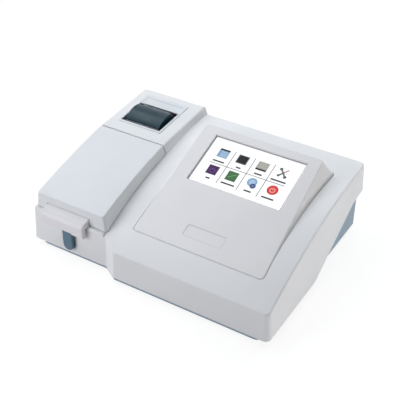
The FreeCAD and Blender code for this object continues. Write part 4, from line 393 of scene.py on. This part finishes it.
# green field with a rising trace
bar((COLUMNS[1], LOWER), (17.0, 17.6), "#3E7040")
bar((COLUMNS[1], LOWER + 0.6), (13.6, 0.9), "#86B184", 2, 34.0)
bar((COLUMNS[1] - 6.4, LOWER), (0.8, 13.0), "#2E5A35", 2)
bar((COLUMNS[1], LOWER - 6.6), (13.0, 0.8), "#2E5A35", 2)
# two blue discs
disc((COLUMNS[2] - 0.6, LOWER + 1.6), 7.8, "#7FA6CC")
disc((COLUMNS[2] - 0.6, LOWER + 1.6), 5.0, "#A9C8E4", 2)
disc((COLUMNS[2] + 3.4, LOWER - 4.6), 4.6, "#3C5282", 3)
disc((COLUMNS[2] + 3.4, LOWER - 4.6), 1.4, "#8095B8", 4)
# red disc with a ring and a stroke
disc((COLUMNS[3], LOWER), 8.6, "#B01E1E")
disc((COLUMNS[3], LOWER), 7.4, "#E23A36", 2)
disc((COLUMNS[3], LOWER - 0.4), 4.3, "#F3C6C0", 3)
disc((COLUMNS[3], LOWER - 0.4), 3.2, "#E23A36", 4)
bar((COLUMNS[3], LOWER + 2.4), (3.0, 3.2), "#E23A36", 5)
bar((COLUMNS[3], LOWER + 2.0), (1.0, 4.2), "#F3C6C0", 6)
# plain bars where the captions stand: place across and up, and width
CAPTIONS = [(-50.2, 2.5, 19.0), (-16.4, 2.6, 7.6), (16.5, 2.8, 12.8), (49.6, 2.8, 24.5),
            (-50.0, -31.2, 7.0), (-16.6, -30.6, 22.5), (16.6, -30.8, 12.0), (49.4, -31.2, 19.5)]
for x, y, width in CAPTIONS:
    bar((x, y), (width, 2.7), "#3A3E42")

mesh = bpy.data.meshes.new("screen_picture")
picture.to_mesh(mesh)
picture.free()
for i, colour in enumerate(picture_inks):
    material, tree = blank("display_ink_%02d" % (i + 1))
    surface(tree, Base_Color=linear("#0C0D0F"), Roughness=0.2, IOR=1.5, Specular_IOR_Level=0.1,
            Emission_Color=linear(colour), Emission_Strength=SCREEN_GLOW)
    mesh.materials.append(material)
screen_picture = bpy.data.objects.new("screen_picture", mesh)
bpy.context.scene.collection.objects.link(screen_picture)
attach(screen_picture, "housing")

# Metal pieces
# Zinc-plated steel sheet that is folded and screwed down, ground steel shafts and pins, the drawn
# and polished stainless probe, and the plated cans of the units that are bought in.
DRAWN_ALONG_X = (0.1, 1.0, 1.0)
DRAWN_ALONG_Z = (1.0, 1.0, 0.1)


def bare_metal(name, colour, roughness, streak, along=(1.0, 1.0, 1.0), contrast=0.06):
    """Bare or plated metal with fine streaks that vary its gloss."""
    material, tree = blank(name)
    pulled = add_node(tree, "ShaderNodeMapping", {"Vector": object_place(tree), "Scale": along}).outputs[0]
    streaks = noise(tree, pulled, streak, 3.0)
    polish = spread(tree, streaks, roughness - contrast, roughness + contrast)
    surface(tree, Base_Color=linear(colour), Metallic=1.0, Roughness=polish)
    return material


dress(bare_metal("zinc_plated_sheet", "#B9BDBF", 0.34, 7.0 * MM),
      "rear_plate", "display_bracket", "switch_bracket", "power_supply")
dress(bare_metal("ground_steel", "#B4B6B8", 0.24, 0.8 * MM, DRAWN_ALONG_X),
      "flap_hinge_pins", "key_pivot_pin", "roller_pins", "door_hinge_pin")
dress(bare_metal("zinc_plated_screw_steel", "#A9ADAF", 0.36, 0.9 * MM), "cover_screws")
dress(bare_metal("polished_stainless", "#C9CBCC", 0.14, 0.6 * MM, DRAWN_ALONG_Z, 0.04), "aspiration_probe")
dress(bare_metal("tinned_steel", "#A9ADB0", 0.38, 5.0 * MM), "lcd_module")
dress(bare_metal("nickel_plated_steel", "#BFC2C2", 0.24, 1.2 * MM), "data_ports")
dress(bare_metal("motor_can_steel", "#BCBFC1", 0.26, 0.9 * MM, DRAWN_ALONG_X), "filter_motor")
dress(bare_metal("brass", "#C0A04F", 0.3, 0.7 * MM), "board_standoffs")

# Aspiration key
# A blue-grey ABS lever that hangs from its pin behind the hood of the sampling head, smoother than
# the housing where the finger presses it. The sealed switch behind it is moulded in black nylon.
dress(moulded_abs("key_abs", "#4C7083", roughness=0.3), "sample_key")
dress(moulded_abs("switch_nylon", "#26292D", roughness=0.5), "key_switch")

# Flow path
# Thin clear fluoropolymer tubes pushed onto their nipples, a fused quartz cell under an acetal
# cap, and a soft silicone tube that the acetal rollers of the pump squeeze.
clear_tube, tree = blank("clear_fluoropolymer")
surface(tree, Base_Color=linear("#E8F0F2"), Roughness=0.14, IOR=1.43, Transmission_Weight=0.7)
dress(clear_tube, "inlet_tube", "transfer_tube")
silicone, tree = blank("silicone_rubber")
surface(tree, Base_Color=linear("#DAD5C7"), Roughness=0.34, IOR=1.41, Transmission_Weight=0.2,
        Subsurface_Weight=0.3, Subsurface_Scale=1.5 * MM)
dress(silicone, "pump_tube")
dress(gloss("quartz_glass", "#EAF2F4", 0.03, 1.458, Transmission_Weight=0.95), "flow_cell")
dress(matt("acetal", "#E8E6DE", 0.38, 0.5 * MM, 0.02 * MM),
      "flow_cell_cap", "waste_port", "pump_roller_1", "pump_roller_2", "pump_roller_3")

# Pump and optical bench
# Aluminium blocks and barrels, bead blasted and anodised black against stray light, and a die-cast
# lamp house with the same blasted skin, on a painted bench. The pump is moulded in nylon.
BLAST = 0.35 * MM
BLAST_DEPTH = 0.02 * MM


def anodised(name, colour, roughness=0.4):
    """Bead-blasted aluminium, dyed and sealed: a dark satin with a grain just in sight."""
    material, tree = blank(name)
    blasted = raised(tree, noise(tree, object_place(tree), BLAST, 2.0), 0.3, BLAST_DEPTH)
    surface(tree, Base_Color=linear(colour), Metallic=0.75, Roughness=roughness, Normal=blasted)
    return material


dress(anodised("black_anodised", "#35383C"),
      "flow_cell_block", "detector_housing", "collimator_barrel", "filter_wheel")
dress(anodised("die_cast_aluminium", "#A6AAAD", 0.46), "lamp_housing", "print_head")
dress(gloss("coated_glass", "#E6F0F4", 0.03, 1.52, Transmission_Weight=0.95), "collimator_lens")
dress(moulded_abs("pump_nylon", "#8B929A", roughness=0.5), "pump_housing")
dress(moulded_abs("rotor_nylon", "#4D535A"), "pump_rotor")
dress(matt("motor_enamel", "#2A2C30", 0.45, 0.8 * MM, 0.03 * MM), "pump_motor")
dress(matt("bench_paint", "#43474C", 0.55, 0.7 * MM, 0.06 * MM), "optical_bench")

# Filters
# Interference filters of coated glass, dropped into seven of the wheel's eight seats; the eighth
# stays open. Each passes its own wavelength, so each shines in its own colour.
# one tint for each seat, in order round the wheel
FILTER_TINTS = ["#3E5FC0", "#3F8ED8", "#3FB6A8", "#63B456", "#D3B63C", "#D9812F", "#C23B34", "#8A3FA8"]


def around_x(tree, name):
    """Reach sideways and upwards from the middle of a node whose axis lies along X."""
    low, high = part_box(name)
    spot = add_node(tree, "ShaderNodeSeparateXYZ", {0: object_place(tree)}).outputs
    side = compute(tree, "SUBTRACT", spot["Y"], (low.y + high.y) / 2)
    rise = compute(tree, "SUBTRACT", spot["Z"], (low.z + high.z) / 2)
    return side, rise


filters, tree = blank("coated_filter_glass")
angle = compute(tree, "ARCTAN2", *around_x(tree, "filter_wheel"))
turn = add_node(tree, "ShaderNodeMapRange", {"Value": angle, "From Min": -pi, "From Max": pi}).outputs[0]
ramp = add_node(tree, "ShaderNodeValToRGB", {"Fac": turn})
ramp.color_ramp.interpolation = "CONSTANT"
for i, colour in enumerate(FILTER_TINTS):
    stops = ramp.color_ramp.elements
    stop = stops.new((i - 0.5) / len(FILTER_TINTS)) if i else stops[0]
    stop.color = linear(colour)
surface(tree, Base_Color=ramp.outputs[0], Roughness=0.08, IOR=1.6, Metallic=0.35)
dress(filters, "colour_filters")


# Halogen lamp
# A bought-in lamp: a pressed ceramic foot with the clear quartz capsule cemented into its top.
# One node holds both, so the material changes at the foot's upper edge.
def two_heights(tree, name, level, below, above):
    """Shader of a standing node that changes at a level above its lowest point."""
    low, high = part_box(name)
    height = add_node(tree, "ShaderNodeSeparateXYZ", {0: object_place(tree)}).outputs["Z"]
    higher = compute(tree, "GREATER_THAN", height, low.z + level)
    both = add_node(tree, "ShaderNodeMixShader", {0: higher, 1: below.outputs[0], 2: above.outputs[0]})
    emit(tree, both.outputs[0])


CAPSULE_SHARE = 0.72
CAPSULE_SUNK = 10 * MM
lamp_low, lamp_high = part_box("halogen_lamp")
halogen, tree = blank("ceramic_and_quartz")
ceramic = add_node(tree, "ShaderNodeBsdfPrincipled", {"Base Color": linear("#EAE6DA"), "Roughness": 0.6})
capsule = add_node(tree, "ShaderNodeBsdfPrincipled", {
    "Base Color": linear("#F2F6F7"), "Roughness": 0.03, "IOR": 1.46, "Transmission Weight": 0.85})
foot_height = CAPSULE_SHARE * (lamp_high.z - lamp_low.z) - CAPSULE_SUNK
two_heights(tree, "halogen_lamp", foot_height, ceramic, capsule)
dress(halogen, "halogen_lamp")

# Printer: frame, smoked door, roller, bucket and paper
# A built-in slip printer snapped into the housing. Its door is smoked polycarbonate that shows as
# near black with one long soft highlight; the roll behind it is thermal paper.
dress(moulded_abs("printer_frame_abs", "#E4E7EA", roughness=0.4), "printer_frame")
dress(gloss("smoked_polycarbonate", "#0A303C", 0.32, 1.585, Specular_IOR_Level=0.22), "printer_door")
dress(matt("platen_rubber", "#24272A", 0.7, 0.5 * MM, 0.04 * MM), "platen_roller")
dress(moulded_abs("printer_body_abs", "#24272B", roughness=0.48), "printer_body")
# the roll's end shows its turns as fine rings
PAPER_TURN = 0.9 * MM
PAPER_EDGE = 0.08 * MM
paper, tree = blank("thermal_paper")
side, rise = around_x(tree, "paper_roll")
flat = add_node(tree, "ShaderNodeCombineXYZ", {0: side, 1: rise}).outputs[0]
reach = add_node(tree, "ShaderNodeVectorMath", {0: flat}, operation="LENGTH").outputs["Value"]
rings = compute(tree, "SINE", compute(tree, "MULTIPLY", reach, 2 * pi / PAPER_TURN))
surface(tree, Base_Color=linear("#F2F1EB"), Roughness=0.8, Normal=raised(tree, rings, 0.4, PAPER_EDGE))
dress(paper, "paper_roll")

# Main board
# A glass-epoxy board on stand-offs, under green solder mask; the chips and sockets that stand on
# it are black epoxy. One node holds both, so the material changes above the board's upper face.
MASK_TO = 1.7 * MM
TRACKS_PER_METRE = 120.0
board, tree = blank("solder_mask_and_epoxy")
tracks = add_node(tree, "ShaderNodeTexBrick", {
    "Vector": object_place(tree), "Color1": linear("#2C6048"), "Color2": linear("#2F684D"),
    "Mortar": linear("#3F7F5E"), "Scale": TRACKS_PER_METRE, "Mortar Size": 0.04})
mask = add_node(tree, "ShaderNodeBsdfPrincipled", {
    "Base Color": tracks.outputs[0], "Roughness": 0.3, "IOR": 1.5})
epoxy = add_node(tree, "ShaderNodeBsdfPrincipled", {"Base Color": linear("#222427"), "Roughness": 0.5})
two_heights(tree, "main_board", MASK_TO, mask, epoxy)
dress(board, "main_board")

# Back: inlet, switch and fan
# Bought-in fittings of glass-filled black nylon, duller than the printer door, that snap or screw
# into the rear plate. The rocker is smoother, from the fingers that press it.
dress(moulded_abs("black_nylon", "#1D1F22", roughness=0.5), "mains_inlet", "switch_frame", "fan_frame",
      "fan_rotor")
dress(gloss("rocker_nylon", "#1B1D20", 0.26), "power_rocker")

# Base tray and feet
# A blue-grey ABS tray that carries everything and shows as a band at the sides and a thin line in
# front. Its four moulded rubber feet stand on the bench.
dress(moulded_abs("tray_abs", "#91A4B4", roughness=0.5), "base_tray")
dress(matt("foot_rubber", "#2A2C2E", 0.8, 0.7 * MM, 0.06 * MM), "rubber_feet")
